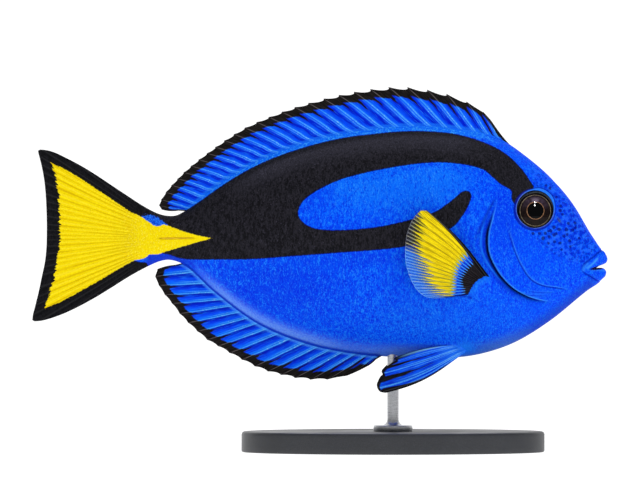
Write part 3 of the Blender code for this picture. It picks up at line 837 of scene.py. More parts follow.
class Look:
    """A material under construction: each call adds a node and returns its output."""

    def __init__(self, name, roughness=0.45, specular=0.3):
        self.material = bpy.data.materials.new(name)
        self.material.use_nodes = True
        self.tree = self.material.node_tree
        self.shader = self.tree.nodes["Principled BSDF"]
        self.shader.inputs["Roughness"].default_value = roughness
        self.shader.inputs["Specular IOR Level"].default_value = specular
        self.cache = {}

    def node(self, kind, **props):
        n = self.tree.nodes.new(kind)
        for k, value in props.items():
            setattr(n, k, value)
        return n

    def feed(self, socket, value):
        if isinstance(value, bpy.types.NodeSocket):
            self.tree.links.new(value, socket)
        else:
            socket.default_value = value

    def attr(self, name):
        if name not in self.cache:
            self.cache[name] = self.node("ShaderNodeAttribute", attribute_name=name).outputs["Fac"]
        return self.cache[name]

    def math(self, op, a, b=0.0, c=0.0, clamp=False):
        n = self.node("ShaderNodeMath", operation=op, use_clamp=clamp)
        for socket, value in zip(n.inputs, (a, b, c)):
            self.feed(socket, value)
        return n.outputs[0]

    def add(self, a, b):
        return self.math("ADD", a, b)

    def mul(self, a, b, clamp=False):
        return self.math("MULTIPLY", a, b, clamp=clamp)

    def ramp(self, x, lo, hi, a=0.0, b=1.0):
        n = self.node("ShaderNodeMapRange", interpolation_type="SMOOTHSTEP", clamp=True)
        for key, value in zip(("Value", "From Min", "From Max", "To Min", "To Max"), (x, lo, hi, a, b)):
            self.feed(n.inputs[key], value)
        return n.outputs[0]

    def mix(self, f, a, b):
        n = self.node("ShaderNodeMix", data_type="RGBA")
        self.feed(n.inputs[0], f)
        self.feed(n.inputs[6], a)
        self.feed(n.inputs[7], b)
        return n.outputs[2]

    def stops(self, x, *pairs):
        n = self.node("ShaderNodeValToRGB")
        ramp = n.color_ramp
        while len(ramp.elements) < len(pairs):
            ramp.elements.new(0.5)
        for element, (place, colour) in zip(ramp.elements, pairs):
            element.position = place
            element.color = colour
        self.feed(n.inputs[0], x)
        return n.outputs["Color"]

    def flat(self, x=1.0, z=1.0):
        """Side elevation in millimetres, the same for both sides of the body."""
        return self.vec(self.mul(self.attr("along"), 0.4355 * x), self.mul(self.attr("height"), 0.4355 * z))

    def mm(self, x=1.0, y=1.0, z=1.0):
        key = ("mm", x, y, z)
        if key not in self.cache:
            if "object" not in self.cache:
                self.cache["object"] = self.node("ShaderNodeTexCoord").outputs["Object"]
            n = self.node("ShaderNodeVectorMath", operation="MULTIPLY")
            self.feed(n.inputs[0], self.cache["object"])
            n.inputs[1].default_value = (1000 * x, 1000 * y, 1000 * z)
            self.cache[key] = n.outputs[0]
        return self.cache[key]

    def vec(self, x, y, z=0.0):
        n = self.node("ShaderNodeCombineXYZ")
        for socket, value in zip(n.inputs, (x, y, z)):
            self.feed(socket, value)
        return n.outputs[0]

    def noise(self, where, scale, detail=2.0, rough=0.5):
        n = self.node("ShaderNodeTexNoise")
        self.feed(n.inputs["Vector"], where)
        n.inputs["Scale"].default_value = scale
        n.inputs["Detail"].default_value = detail
        n.inputs["Roughness"].default_value = rough
        return n.outputs["Fac"]

    def cells(self, where, scale, feature="F1", dimensions="3D", even=1.0):
        n = self.node("ShaderNodeTexVoronoi", feature=feature, voronoi_dimensions=dimensions)
        self.feed(n.inputs["Vector"], where)
        n.inputs["Scale"].default_value = scale
        n.inputs["Randomness"].default_value = even
        return n.outputs["Distance"]

    def dots(self, where, rough, *places):
        """Spots of given size at given places of the side elevation."""
        most = None
        for u, v, size in places:
            n = self.node("ShaderNodeVectorMath", operation="DISTANCE")
            self.feed(n.inputs[0], where)
            n.inputs[1].default_value = (u, v, 0)
            spot = self.ramp(self.add(n.outputs["Value"], rough), size + 0.45, size - 0.45)
            most = spot if most is None else self.math("MAXIMUM", most, spot)
        return most

    def bump(self, height, millimetres, previous=None):
        n = self.node("ShaderNodeBump")
        n.inputs["Strength"].default_value = 1.0
        n.inputs["Distance"].default_value = millimetres * 0.001
        self.feed(n.inputs["Height"], height)
        if previous is not None:
            self.feed(n.inputs["Normal"], previous)
        return n.outputs[0]

    def done(self, colour=None, roughness=None, normal=None, alpha=None, metallic=None):
        for key, value in (("Base Color", colour), ("Roughness", roughness), ("Normal", normal),
                           ("Alpha", alpha), ("Metallic", metallic)):
            if value is not None:
                self.feed(self.shader.inputs[key], value)
        return self.material


SPEC = 0.04


def skin_look():
    k = Look("skin", 0.45, SPEC)
    drift = k.noise(k.mm(0.22, 0.22, 0.10), 1.0, 2, 0.5)
    wavy = k.node("ShaderNodeVectorMath", operation="ADD")
    k.feed(wavy.inputs[0], k.mm(1.0, 1.0, 0.33))
    k.feed(wavy.inputs[1], k.vec(k.mul(k.math("SUBTRACT", drift, 0.5), 4.5), 0.0, 0.0))
    streak = k.noise(wavy.outputs[0], 1.05, 2, 0.6)
    fine = k.noise(k.mm(1.2, 1.2, 0.8), 1.5, 2, 0.65)
    broad = k.noise(k.mm(), 0.06, 2)
    calm = k.ramp(k.attr("along"), 478, 500, 1.0, 0.5)
    wave = k.add(k.mul(k.math("SUBTRACT", streak, 0.5), calm), k.mul(k.math("SUBTRACT", fine, 0.5), 0.9))
    blue = k.mix(k.ramp(wave, -0.14, 0.14), rgb(0, 58, 244), rgb(0, 97, 254))
    # partly the fish's own tone, partly painted light and shade
    tone_light_and_shade = k.attr("tone_light_and_shade")
    blue = k.mix(k.ramp(tone_light_and_shade, 0.0, -1.0, 0, 0.72), blue, rgb(0, 50, 232))
    blue = k.mix(k.ramp(tone_light_and_shade, 0.0, 1.0, 0, 0.60), blue, rgb(8, 122, 254))
    blue = k.mix(k.ramp(wave, 0.10, 0.24, 0, 0.9), blue, rgb(26, 130, 255))
    blue = k.mix(k.ramp(wave, -0.09, -0.22, 0, 0.7), blue, rgb(0, 42, 226))
    thin = k.noise(k.mm(1.25, 1.25, 0.34), 1.0, 1, 0.5)
    thin = k.ramp(k.math("ABSOLUTE", k.math("SUBTRACT", thin, 0.5)), 0.045, 0.005)
    blue = k.mix(k.mul(thin, k.ramp(fine, 0.42, 0.56, 0.0, k.ramp(tone_light_and_shade, 0.0, 0.8, 0.5, 0.85))), blue, rgb(48, 146, 255))
    blue = k.mix(k.ramp(broad, 0.35, 0.7, 0, 0.25), blue, rgb(0, 74, 244))
    # painted shade along the underside, greyish blue on the belly and deep blue under the jaw
    underside_shade = k.mix(k.ramp(k.attr("along"), 500, 540), rgb(64, 110, 190), rgb(20, 60, 182))
    blue = k.mix(k.mul(k.attr("low"), k.ramp(fine, 0.3, 0.7, 0.6, 0.85)), blue, underside_shade)
    speckle = k.ramp(k.noise(k.mm(), 1.3, 3, 0.7), 0.3, 0.66, 0.5, 1.15)
    blue = k.mix(k.mul(k.attr("pale"), speckle), blue, rgb(104, 152, 250))
    blue = k.mix(k.mul(k.attr("shade"), 0.7), blue, rgb(0, 30, 196))
    blue = k.mix(k.mul(k.attr("strip"), 0.75), blue, rgb(24, 46, 190))
    # painted highlight on the fold behind the gill and on the lobe over the pectoral root, and a light patch by the
    # pelvic root
    blue = k.mix(k.mul(k.attr("fold_highlight"), 0.7), blue, rgb(26, 132, 255))
    # the light strip along the dorsal fin's foot
    strip = k.ramp(k.attr("back"), 8.5, 5.5)
    strip = k.mul(strip, k.mul(k.ramp(k.attr("along"), 508, 470), k.ramp(k.attr("along"), 182, 200)))
    blue = k.mix(k.mul(strip, k.ramp(fine, 0.3, 0.7, 0.45, 1.0)), blue, rgb(12, 122, 255))
    blue = k.mix(k.mul(strip, k.ramp(wave, 0.0, 0.2, 0, 0.85)), blue, rgb(66, 172, 255))
    # freckles of the forehead and the snout
    plan = k.vec(k.attr("along"), k.attr("height"))
    warp = k.math("SUBTRACT", k.noise(k.mm(), 0.8, 2, 0.6), 0.5)
    cell = k.cells(plan, 0.215, dimensions="2D", even=0.85)
    cell2 = k.cells(k.vec(k.add(k.attr("along"), 7.3), k.add(k.attr("height"), 3.1)), 0.30, dimensions="2D")
    front = k.ramp(k.attr("along"), 562, 574)
    spot = k.ramp(k.add(cell, k.mul(warp, 0.7)), 0.36, 0.19)
    small = k.mul(k.ramp(k.add(cell2, k.mul(warp, 0.9)), 0.30, 0.16, 0, 0.8), front)
    spot = k.math("MAXIMUM", spot, small)
    field = k.attr("freckle")
    net = k.ramp(k.add(cell, k.mul(warp, 0.5)), 0.46, 0.62)
    blue = k.mix(k.mul(net, k.mul(field, 0.5)), blue, rgb(38, 112, 255))
    free = k.math("MAXIMUM", k.ramp(k.attr("along"), 563, 569), k.ramp(k.attr("height"), 216, 208))
    spot = k.mul(k.mul(spot, field), k.ramp(free, 0, 1, 0.5, 1.0))
    blue = k.mix(k.mul(spot, 0.68), blue, rgb(0, 26, 196))
    bold = k.dots(plan, k.mul(warp, 1.6),
                  (553.0, 227.2, 1.7), (549.6, 230.9, 1.7), (547.6, 231.0, 1.2), (558.2, 229.4, 1.6),
                  (565.4, 229.6, 1.9), (567.6, 223.2, 1.5), (559.7, 210.8, 1.6), (561.8, 214.4, 1.3),
                  (574.4, 223.0, 1.5), (574.8, 227.8, 1.5), (572.0, 230.0, 1.5), (544.2, 233.2, 1.5),
                  (542.0, 238.2, 1.8), (553.4, 234.8, 1.8), (555.2, 233.8, 1.2), (548.0, 236.8, 1.5),
                  (538.6, 233.4, 1.5), (531.8, 233.6, 1.5), (559.8, 206.0, 1.3), (556.0, 197.0, 1.3),
                  (549.6, 188.2, 1.5), (545.4, 185.4, 1.2), (563.0, 236.4, 1.5), (568.8, 240.8, 1.4),
                  (559.0, 243.0, 1.4), (553.6, 241.6, 1.4), (547.6, 243.4, 1.3), (560.8, 249.6, 1.3),
                  (569.6, 246.6, 1.3), (566.4, 234.4, 1.3), (578.4, 238.2, 1.2))
    faint = k.dots(plan, k.mul(warp, 1.4),
                   (536.8, 238.4, 1.1), (541.1, 242.7, 1.2), (545.9, 247.0, 1.2), (550.4, 250.0, 1.3),
                   (553.6, 253.2, 1.2), (558.4, 255.6, 1.2), (564.6, 252.6, 1.0), (568.8, 259.4, 1.1))
    blue = k.mix(k.mul(faint, 0.6), blue, rgb(0, 26, 186))
    core = k.mix(k.ramp(fine, 0.5, 0.64), rgb(0, 14, 140), rgb(30, 50, 88))
    blue = k.mix(k.mul(bold, 0.85), blue, core)
    # painted highlights on the opercle edge, the preopercle and the lips, then painted shade in the creases of the head
    # and under the pectoral root
    blue = k.mix(k.mul(k.attr("painted_highlight"), 0.75), blue, rgb(60, 158, 255))
    blue = k.mix(k.mul(k.attr("painted_crease_shade"), 0.85), blue, rgb(0, 20, 168))
    blue = k.mix(k.mul(k.attr("base_line"), 0.95), blue, rgb(0, 44, 190))

    soot = k.mix(k.ramp(wave, -0.15, 0.17), rgb(17, 17, 21), rgb(37, 36, 43))
    grain = k.noise(k.mm(1.4, 1.4, 0.8), 1.5, 3, 0.7)
    sheen = k.mul(k.ramp(k.attr("back"), 34, 12), k.mul(k.ramp(k.attr("along"), 215, 270), k.ramp(k.attr("along"), 500, 440)))
    sheen = k.mul(sheen, k.ramp(k.attr("back"), 8.0, 13.0, 0.1, 1.0))
    soot = k.mix(k.mul(sheen, k.ramp(grain, 0.3, 0.7, 0.15, 0.75)), soot, rgb(62, 61, 74))
    soot = k.mix(k.ramp(grain, 0.56, 0.74, 0, 0.8), soot, rgb(68, 66, 80))
    soot = k.mix(k.ramp(k.attr("along"), 170, 130, 0, 0.7), soot, rgb(13, 14, 15))
    ragged = k.math("SUBTRACT", k.noise(k.mm(), 1.3, 2, 0.6), 0.5)
    edge = k.add(k.attr("black"), k.mul(ragged, 1.5))
    dusk = k.mix(k.ramp(edge, -0.7, 0.0), blue, rgb(0, 20, 120))
    colour = k.mix(k.ramp(edge, -0.25, 0.65), dusk, soot)
    # rim of the orbit: a roll with painted highlight, broad above and in front, and painted shade in the crease round
    # it
    orbit, lid = k.attr("orbit"), k.attr("lid")
    wide = k.add(k.ramp(lid, -1.0, 0.4, 0.7, 1.1), k.ramp(lid, 0.66, 1.0, 0.0, 2.0))
    away = k.math("SUBTRACT", orbit, EYE_OPEN)
    over = k.math("SUBTRACT", away, wide)
    crease = k.ramp(lid, -0.9, 0.6, 2.4, 1.0)
    ring = k.mul(k.ramp(over, -0.5, 0.4), k.ramp(k.math("SUBTRACT", over, crease), 0.6, -0.5))
    colour = k.mix(k.mul(ring, 0.8), colour, rgb(0, 18, 150))
    # painted shade in a second crease above and in front of the rim
    second = k.mul(k.ramp(k.math("ABSOLUTE", k.math("SUBTRACT", away, 5.0)), 0.8, 0.1), k.ramp(lid, 0.72, 0.95))
    colour = k.mix(k.mul(second, 0.5), colour, rgb(0, 34, 196))
    roll = k.mul(k.ramp(away, -0.4, 0.1), k.ramp(over, 0.5, -0.4))
    rim_highlight = k.mix(k.ramp(lid, 0.1, 0.75), rgb(62, 84, 205), rgb(30, 122, 255))
    rim_highlight = k.mix(k.mul(k.ramp(away, 0.8, 0.1, 0, 0.5), k.ramp(lid, 0.9, 0.3)), rim_highlight, rgb(104, 136, 222))
    rim_highlight = k.mix(k.ramp(fine, 0.5, 0.7, 0, 0.4), rim_highlight, rgb(90, 170, 255))
    colour = k.mix(k.mul(roll, 0.92), colour, rim_highlight)
    # painted shade inside the opening of the orbit, round the eye
    colour = k.mix(k.ramp(away, 0.1, -0.4), colour, rgb(8, 10, 18))
    # rays of the tail show in its black margin
    ray = k.math("PINGPONG", k.attr("ray"), 0.5)
    fan = k.attr("tail")
    lit = k.mul(k.mul(fan, k.ramp(ray, 0.32, 0.5)), k.ramp(k.attr("gold"), 1, -1, 0, 0.5))
    colour = k.mix(lit, colour, rgb(46, 46, 48))
    # blue patch over the root of the tail fin
    speck = k.mul(k.math("SUBTRACT", k.noise(k.mm(), 0.9, 3, 0.7), 0.5), 10.0)
    mottle = k.ramp(k.add(k.attr("patch"), speck), -0.7, 0.7)
    colour = k.mix(mottle, colour, k.mix(k.ramp(grain, 0.35, 0.65), rgb(0, 52, 205), rgb(40, 124, 250)))
    # yellow of the tail, its edge drawn out along the rays
    tooth = k.mul(k.math("SUBTRACT", k.noise(k.vec(k.mul(k.attr("ray"), 3.4), k.mul(k.attr("along"), 0.03)), 1.0, 2, 0.7), 0.5), 9.0)
    rear = k.ramp(k.attr("along"), 78, 60)
    edge = k.add(k.attr("gold"), k.add(k.mul(tooth, rear), k.mul(ragged, 2.2)))
    furrow = k.mul(k.ramp(ray, 0.26, 0.50), fan)
    fold2 = k.noise(k.vec(k.mul(k.attr("ray"), 1.7), k.mul(k.attr("along"), 0.015)), 1.0, 2, 0.6)
    hairs = k.noise(k.vec(k.mul(k.attr("ray"), 7.0), k.mul(k.attr("along"), 0.05)), 1.0, 2, 0.6)
    yellow = k.mix(k.ramp(fine, 0.35, 0.7), rgb(250, 220, 2), rgb(255, 236, 14))
    yellow = k.mix(k.mul(k.ramp(hairs, 0.42, 0.66), k.mul(fan, 0.35)), yellow, rgb(230, 190, 0))
    # painted shade in the furrows between the rays, and painted highlight along the ridges of the rays
    yellow = k.mix(k.mul(furrow, k.ramp(fold2, 0.35, 0.6, 0.20, 0.85)), yellow, rgb(214, 176, 0))
    yellow = k.mix(k.mul(k.ramp(ray, 0.2, 0.0), k.mul(fan, 0.45)), yellow, rgb(255, 232, 52))
    root = k.mul(k.ramp(k.attr("along"), 118, 130), k.ramp(k.attr("along"), 200, 160))
    dots = k.ramp(k.cells(k.mm(), 1.15), 0.36, 0.16)
    yellow = k.mix(k.mul(root, k.ramp(grain, 0.45, 0.65, 0, 0.45)), yellow, rgb(222, 182, 0))
    yellow = k.mix(k.mul(k.mul(root, dots), 0.55), yellow, rgb(255, 240, 90))
    # painted shade in the groove of the folded spine
    yellow = k.mix(k.mul(k.attr("groove_shade"), 0.75), yellow, rgb(170, 132, 0))
    colour = k.mix(k.ramp(edge, -0.3, 0.5), colour, yellow)
    # painted shade in the gill opening
    colour = k.mix(k.attr("gap"), colour, rgb(2, 3, 18))
    colour = k.mix(k.mul(k.attr("nostril"), 0.9), colour, k.mix(k.ramp(fine, 0.4, 0.6), rgb(14, 20, 22), rgb(78, 88, 56)))
    # painted shade in the cleft between the lips, dark blue behind and dark brown at the front
    colour = k.mix(k.mul(k.attr("mouth"), 0.95), colour, k.mix(k.ramp(k.attr("along"), 592, 596), rgb(4, 8, 96), rgb(50, 16, 22)))

    scale_ = k.cells(k.mm(1.0, 1.0, 0.8), 1.3)
    height = k.add(k.mul(streak, 1.1), k.add(k.mul(fine, 0.9), k.mul(scale_, 0.3)))
    height = k.add(height, k.mul(k.math("MAXIMUM", spot, k.mul(bold, 1.2)), -0.8))
    normal = k.bump(height, 0.24)
    rays = k.mul(k.math("COSINE", k.mul(k.attr("ray"), 4 * math.pi)), fan)
    normal = k.bump(rays, 0.035, normal)
    rough = k.ramp(streak, 0.3, 0.75, 0.38, 0.58)
    return k.done(colour, rough, normal)


def median_look(name, lanes, front_width, width, spot, teeth, ends, footing, crease):
    """Blue fin with a black margin drawn in along the rays. spot is where the streaks run."""
    k = Look(name, 0.40, SPEC)
    phase, reach, rim, up = (k.attr(a) for a in ("phase", "reach", "rim", "up"))
    sway = k.mul(k.math("SUBTRACT", k.noise(k.vec(k.mul(phase, 1.3), k.mul(up, 0.10)), 1.0, 2, 0.5), 0.5), 0.22)
    shifted = k.add(phase, sway)
    f = k.math("FRACT", shifted)
    near = k.math("PINGPONG", phase, 0.5)  # 0 on a ray, 0.5 between rays
    lane = k.noise(k.vec(k.mul(phase, 6.0), k.mul(up, 0.05)), 1.0, 3, 0.6)
    thread = k.noise(k.vec(k.mul(phase, 15.0), k.mul(up, 0.09), 3.0), 1.0, 2, 0.6)
    fine = k.noise(k.mm(), 1.9, 2, 0.65)
    blue = k.stops(f, *lanes)
    blue = k.mix(k.ramp(lane, 0.48, 0.70, 0, 0.55), blue, rgb(8, 108, 255))
    blue = k.mix(k.ramp(lane, 0.50, 0.30, 0, 0.55), blue, rgb(0, 30, 205))
    blue = k.mix(k.ramp(thread, 0.54, 0.74, 0, 0.55), blue, rgb(40, 140, 255))
    blue = k.mix(k.ramp(thread, 0.46, 0.28, 0, 0.5), blue, rgb(0, 30, 196))
    # pale ray, doubled towards its foot: partly the ray's own colour, partly painted highlight
    line = k.ramp(near, k.ramp(reach, 0.0, 1.0, 0.11, 0.05), 0.015)
    twin = k.mul(k.ramp(k.math("ABSOLUTE", k.math("SUBTRACT", k.math("FRACT", phase), 0.19)), 0.085, 0.0),
                 k.ramp(reach, 0.78, 0.35))
    glow = k.math("MAXIMUM", line, k.mul(twin, 0.8))
    glow = k.mul(glow, k.mul(k.ramp(reach, 0.95, 0.3, 0.45, 1.0), k.ramp(fine, 0.32, 0.62, 0.45, 1.0)))
    blue = k.mix(k.mul(glow, 0.95), blue, rgb(76, 176, 255))
    # painted glints on the pale rays
    spark = k.mul(k.ramp(glow, 0.55, 0.85), k.ramp(k.noise(k.mm(), 1.5, 2, 0.7), 0.52, 0.66))
    blue = k.mix(k.mul(spark, 0.75), blue, rgb(176, 230, 255))
    foot = k.mul(k.ramp(up, 4.6 + 1.6 * crease, 1.2 + 0.8 * crease), k.ramp(fine, 0.25, 0.72, 0.45, 1.0))
    blue = k.mix(k.mul(foot, 0.9), blue, footing)
    blue = k.mix(k.mul(k.mul(glow, foot), 0.6), blue, rgb(92, 188, 255))
    blue = k.mix(k.mul(k.ramp(up, 1.2, 0.6), crease), blue, rgb(0, 40, 188))
    # black margin, and the pointed streaks that run in from it
    wide = k.ramp(phase, 0.0, 3.0, front_width, width)
    after = k.math("SUBTRACT", f, spot)
    tooth = k.mul(k.ramp(after, 0.0, 0.5, 1.0, 0.0), k.ramp(after, -0.06, 0.0))
    wander = k.mul(k.math("SUBTRACT", lane, 0.5), 3.2)
    edge = k.math("SUBTRACT", k.add(wide, k.add(k.mul(tooth, teeth * 0.22), wander)), rim)
    black = k.ramp(edge, -0.6, 0.6)
    slim = k.math("ABSOLUTE", after)
    length = k.add(wide, k.mul(k.ramp(lane, 0.2, 0.8, 0.6, 1.3), teeth))
    room = k.math("DIVIDE", k.math("SUBTRACT", length, rim), teeth)  # 1 at the margin, 0 at the point
    streak = k.ramp(k.math("SUBTRACT", k.mul(room, 0.15), slim), -0.03, 0.03)
    black = k.math("MAXIMUM", black, k.mul(streak, k.ramp(room, 0.0, 0.5, 0.25, 1.0)))
    for key, size in ends:
        black = k.math("MAXIMUM", black, k.ramp(k.math("SUBTRACT", size, k.attr(key)), -0.5, 0.5))
    soot = k.mix(k.ramp(thread, 0.35, 0.75), rgb(12, 11, 12), rgb(40, 36, 34))
    hair = k.mul(k.ramp(near, 0.055, 0.0), k.ramp(rim, 0.8, 3.5, 0.3, 0.75))
    soot = k.mix(hair, soot, rgb(112, 104, 104))
    colour = k.mix(black, blue, soot)
    height = k.add(k.mul(thread, 0.5), k.add(k.mul(fine, 0.6), k.mul(lane, 0.5)))
    normal = k.bump(height, 0.14)
    normal = k.bump(k.math("COSINE", k.mul(phase, 4 * math.pi)), 0.06, normal)
    return k.done(colour, k.ramp(lane, 0.3, 0.7, 0.34, 0.5), normal)


def pectoral_look():
    k = Look("pectoral_fin", 0.42, SPEC)
    phase, reach, rim, up, lead, fan, trail, togo = (
        k.attr(a) for a in ("phase", "reach", "rim", "up", "lead", "fan", "trail", "togo"))
    near = k.math("PINGPONG", phase, 0.5)
    split = k.math("PINGPONG", k.mul(phase, 2.0), 0.5)
    lane = k.noise(k.vec(k.mul(phase, 2.1), k.mul(up, 0.03)), 1.0, 2, 0.6)
    thread = k.noise(k.vec(k.mul(phase, 9.0), k.mul(up, 0.06), 2.0), 1.0, 2, 0.6)
    fleck = k.noise(k.mm(), 1.6, 2, 0.6)
    yellow = k.mix(k.ramp(thread, 0.32, 0.6), rgb(196, 166, 4), rgb(255, 230, 18))
    furrow = k.mul(k.ramp(near, 0.26, 0.46), k.ramp(lane, 0.3, 0.6, 0.4, 0.95))
    yellow = k.mix(furrow, yellow, k.mix(k.ramp(fan, 0.35, 0.7), rgb(170, 146, 8), rgb(96, 108, 48)))
    # clear membrane towards the margin, between rays that taper to points
    thin = k.ramp(split, 0.30, 0.04)
    ahead = k.ramp(fan, 0.38, 0.46)  # the front of the fin lies over the dark mark
    clear = k.mix(thin, k.mix(ahead, rgb(48, 48, 56), rgb(52, 124, 238)), k.mix(ahead, rgb(128, 126, 134), rgb(104, 172, 255)))
    wander = k.mul(k.math("SUBTRACT", lane, 0.5), 18.0)
    margin = k.add(k.ramp(fan, 0.04, 0.18, -16.0, 3.0), k.ramp(fan, 0.30, 0.52, 0.0, 7.0))
    inward = k.math("SUBTRACT", k.add(togo, wander), margin)
    web = k.mul(k.ramp(inward, -3.0, 12.0), k.ramp(lane, 0.25, 0.6, 0.6, 1.0))
    between = k.mix(k.ramp(inward, 4.0, 22.0), k.mix(ahead, rgb(92, 92, 44), rgb(82, 128, 150)), rgb(150, 142, 26))
    colour = k.mix(web, clear, between)
    rays = k.mul(k.ramp(split, 0.24, 0.08), k.ramp(inward, -7.0, 9.0))
    colour = k.mix(k.mul(rays, 0.85), colour, k.mix(k.ramp(inward, -4, 8), rgb(140, 176, 160), rgb(222, 204, 36)))
    # the rays swell and close up further in
    width = k.ramp(inward, 1.0, 27.0, 0.0, 0.62)
    solid_ = k.ramp(k.math("SUBTRACT", k.add(width, k.mul(k.math("SUBTRACT", thread, 0.5), 0.30)), near), -0.06, 0.10)
    colour = k.mix(solid_, colour, yellow)
    solid_ = k.math("MAXIMUM", solid_, k.math("MAXIMUM", k.mul(rays, 0.95), k.mul(web, 0.8)))
    # pale, blue, then black, towards the root
    root = k.add(up, k.mul(k.math("SUBTRACT", lane, 0.5), 4.0))
    reach_blue = k.add(k.ramp(fan, 0.0, 1.0, 26.0, 16.0), k.ramp(near, 0.5, 0.0, -2.0, 2.6))
    gap = k.math("SUBTRACT", root, reach_blue)
    colour = k.mix(k.mul(k.ramp(gap, 5.0, 0.5), k.ramp(near, 0.50, 0.10, 0.3, 0.8)), colour, rgb(142, 170, 74))
    band = k.ramp(gap, 1.2, -1.0)
    beam = k.ramp(k.add(near, k.mul(k.math("SUBTRACT", thread, 0.5), 0.25)), 0.05, 0.24)
    streak = k.mix(beam, rgb(70, 160, 255), k.mix(k.ramp(fleck, 0.4, 0.6), rgb(0, 44, 196), rgb(0, 70, 226)))
    colour = k.mix(band, colour, streak)
    reach_black = k.math("SUBTRACT", k.ramp(fan, 0.0, 0.5, 17.0, 14.8), k.ramp(fan, 0.5, 1.0, 0.0, 9.6))
    reach_black = k.add(reach_black, k.ramp(near, 0.0, 0.5, -1.6, 2.2))
    black = k.ramp(k.math("SUBTRACT", k.add(up, k.mul(k.math("SUBTRACT", thread, 0.5), 3.0)), reach_black), 0.7, -0.7)
    soot = k.mix(k.ramp(thread, 0.4, 0.7), rgb(12, 11, 14), rgb(52, 46, 50))
    soot = k.mix(k.ramp(near, 0.14, 0.0, 0, 0.5), soot, rgb(62, 60, 66))
    colour = k.mix(black, colour, soot)
    lead_width = k.ramp(reach, 0.05, 1.0, 3.9, 0.8)
    edge = k.ramp(k.math("SUBTRACT", lead, lead_width), 0.4, -0.4)
    rail = k.ramp(k.math("ABSOLUTE", k.math("SUBTRACT", lead, k.mul(lead_width, 0.5))), 0.55, 0.1)
    colour = k.mix(edge, colour, k.mix(k.mul(rail, 0.45), rgb(10, 10, 14), rgb(84, 88, 94)))
    colour = k.mix(k.mul(k.ramp(trail, 1.5, 0.7), k.ramp(rim, 6.0, 12.0)), colour, rgb(4, 26, 110))
    colour = k.mix(k.ramp(rim, 0.9, 0.25, 0, 0.75), colour, k.mix(ahead, rgb(112, 116, 130), rgb(110, 180, 255)))
    whole = k.math("MAXIMUM", k.math("MAXIMUM", solid_, band), k.math("MAXIMUM", black, edge))
    veil = k.math("MAXIMUM", k.ramp(split, 0.30, 0.05, 0.42, 0.66), k.ramp(rim, 1.0, 0.3, 0.2, 0.8))
    alpha = k.math("MAXIMUM", whole, veil)
    normal = k.bump(k.add(k.mul(k.math("COSINE", k.mul(phase, 4 * math.pi)), 0.6), thread), 0.10)
    return k.done(colour, k.ramp(thread, 0.3, 0.7, 0.36, 0.5), normal, alpha)


def pelvic_look():
    k = Look("pelvic_fin", 0.42, SPEC)
    reach, rim, up, lead, fan = (k.attr(a) for a in ("reach", "rim", "up", "lead", "fan"))
    phase = k.math("SUBTRACT", k.mul(fan, 3.0), 0.36)  # three bright lanes
    near = k.math("PINGPONG", phase, 0.5)
    f = k.math("FRACT", phase)
    lane = k.noise(k.vec(k.mul(fan, 14.0), k.mul(up, 0.05)), 1.0, 3, 0.6)
    thread = k.noise(k.vec(k.mul(fan, 40.0), k.mul(up, 0.07), 5.0), 1.0, 2, 0.6)
    fleck = k.noise(k.mm(), 1.6, 2, 0.65)
    blue = k.mix(k.ramp(thread, 0.35, 0.65), rgb(0, 44, 214), rgb(8, 92, 250))
    side = k.mul(k.ramp(k.math("ABSOLUTE", k.math("SUBTRACT", f, 0.16)), 0.08, 0.0), k.ramp(reach, 0.9, 0.4))
    third = k.mul(k.ramp(k.math("ABSOLUTE", k.math("SUBTRACT", f, 0.80)), 0.05, 0.0), k.ramp(reach, 0.85, 0.5))
    line = k.math("MAXIMUM", k.ramp(near, 0.075, 0.0), k.mul(k.math("MAXIMUM", side, third), 0.95))
    blue = k.mix(k.mul(line, k.ramp(fleck, 0.3, 0.6, 0.5, 1.0)), blue, rgb(78, 172, 255))
    soot = k.mix(k.ramp(thread, 0.35, 0.75), rgb(8, 8, 12), rgb(38, 36, 38))
    wander = k.math("SUBTRACT", lane, 0.5)
    edge = k.math("SUBTRACT", k.add(k.ramp(reach, 0.2, 1.0, 0.4, 2.2), k.mul(k.mul(wander, 5.0), reach)), rim)
    colour = k.mix(k.ramp(edge, -0.6, 0.6), blue, soot)
    # black between the lanes, widest at the margin and running out to a line at the root
    half = k.add(k.ramp(reach, 0.28, 1.0, 0.01, 0.20), k.mul(wander, 0.28))
    between = k.math("SUBTRACT", half, k.math("SUBTRACT", 0.5, near))
    colour = k.mix(k.mul(k.ramp(between, -0.05, 0.05), k.ramp(reach, 0.15, 0.45, 0.3, 1.0)), colour, soot)
    front = k.math("SUBTRACT", k.ramp(reach, 0.4, 1.0, 1.2, 5.0), lead)
    colour = k.mix(k.mul(k.ramp(front, -0.5, 0.5), k.ramp(reach, 0.05, 0.3)), colour, soot)
    colour = k.mix(k.mul(k.ramp(k.math("ABSOLUTE", k.math("SUBTRACT", lead, 1.9)), 0.5, 0.1), k.ramp(reach, 0.3, 0.6, 0, 0.4)), colour, rgb(84, 84, 90))
    upper = k.mul(k.ramp(fan, 0.90, 0.935), k.ramp(reach, 0.98, 0.8))
    colour = k.mix(k.mul(upper, k.ramp(reach, 0.4, 0.95, 0.9, 0.35)), colour, rgb(104, 166, 226))
    colour = k.mix(k.mul(k.ramp(fan, 0.980, 0.992), k.ramp(reach, 0.15, 0.4, 0.2, 0.9)), colour, soot)
    # the light fleshy root
    fleshy = k.mul(k.ramp(k.add(reach, k.mul(wander, 0.2)), 0.34, 0.08), k.ramp(fleck, 0.3, 0.6, 0.45, 0.85))
    colour = k.mix(fleshy, colour, k.mix(k.mul(line, k.ramp(reach, 0.0, 0.08)), rgb(34, 122, 252), rgb(120, 196, 255)))
    normal = k.bump(k.add(k.mul(k.math("COSINE", k.mul(phase, 4 * math.pi)), 0.5), thread), 0.09)
    return k.done(colour, k.ramp(thread, 0.3, 0.7, 0.36, 0.5), normal)


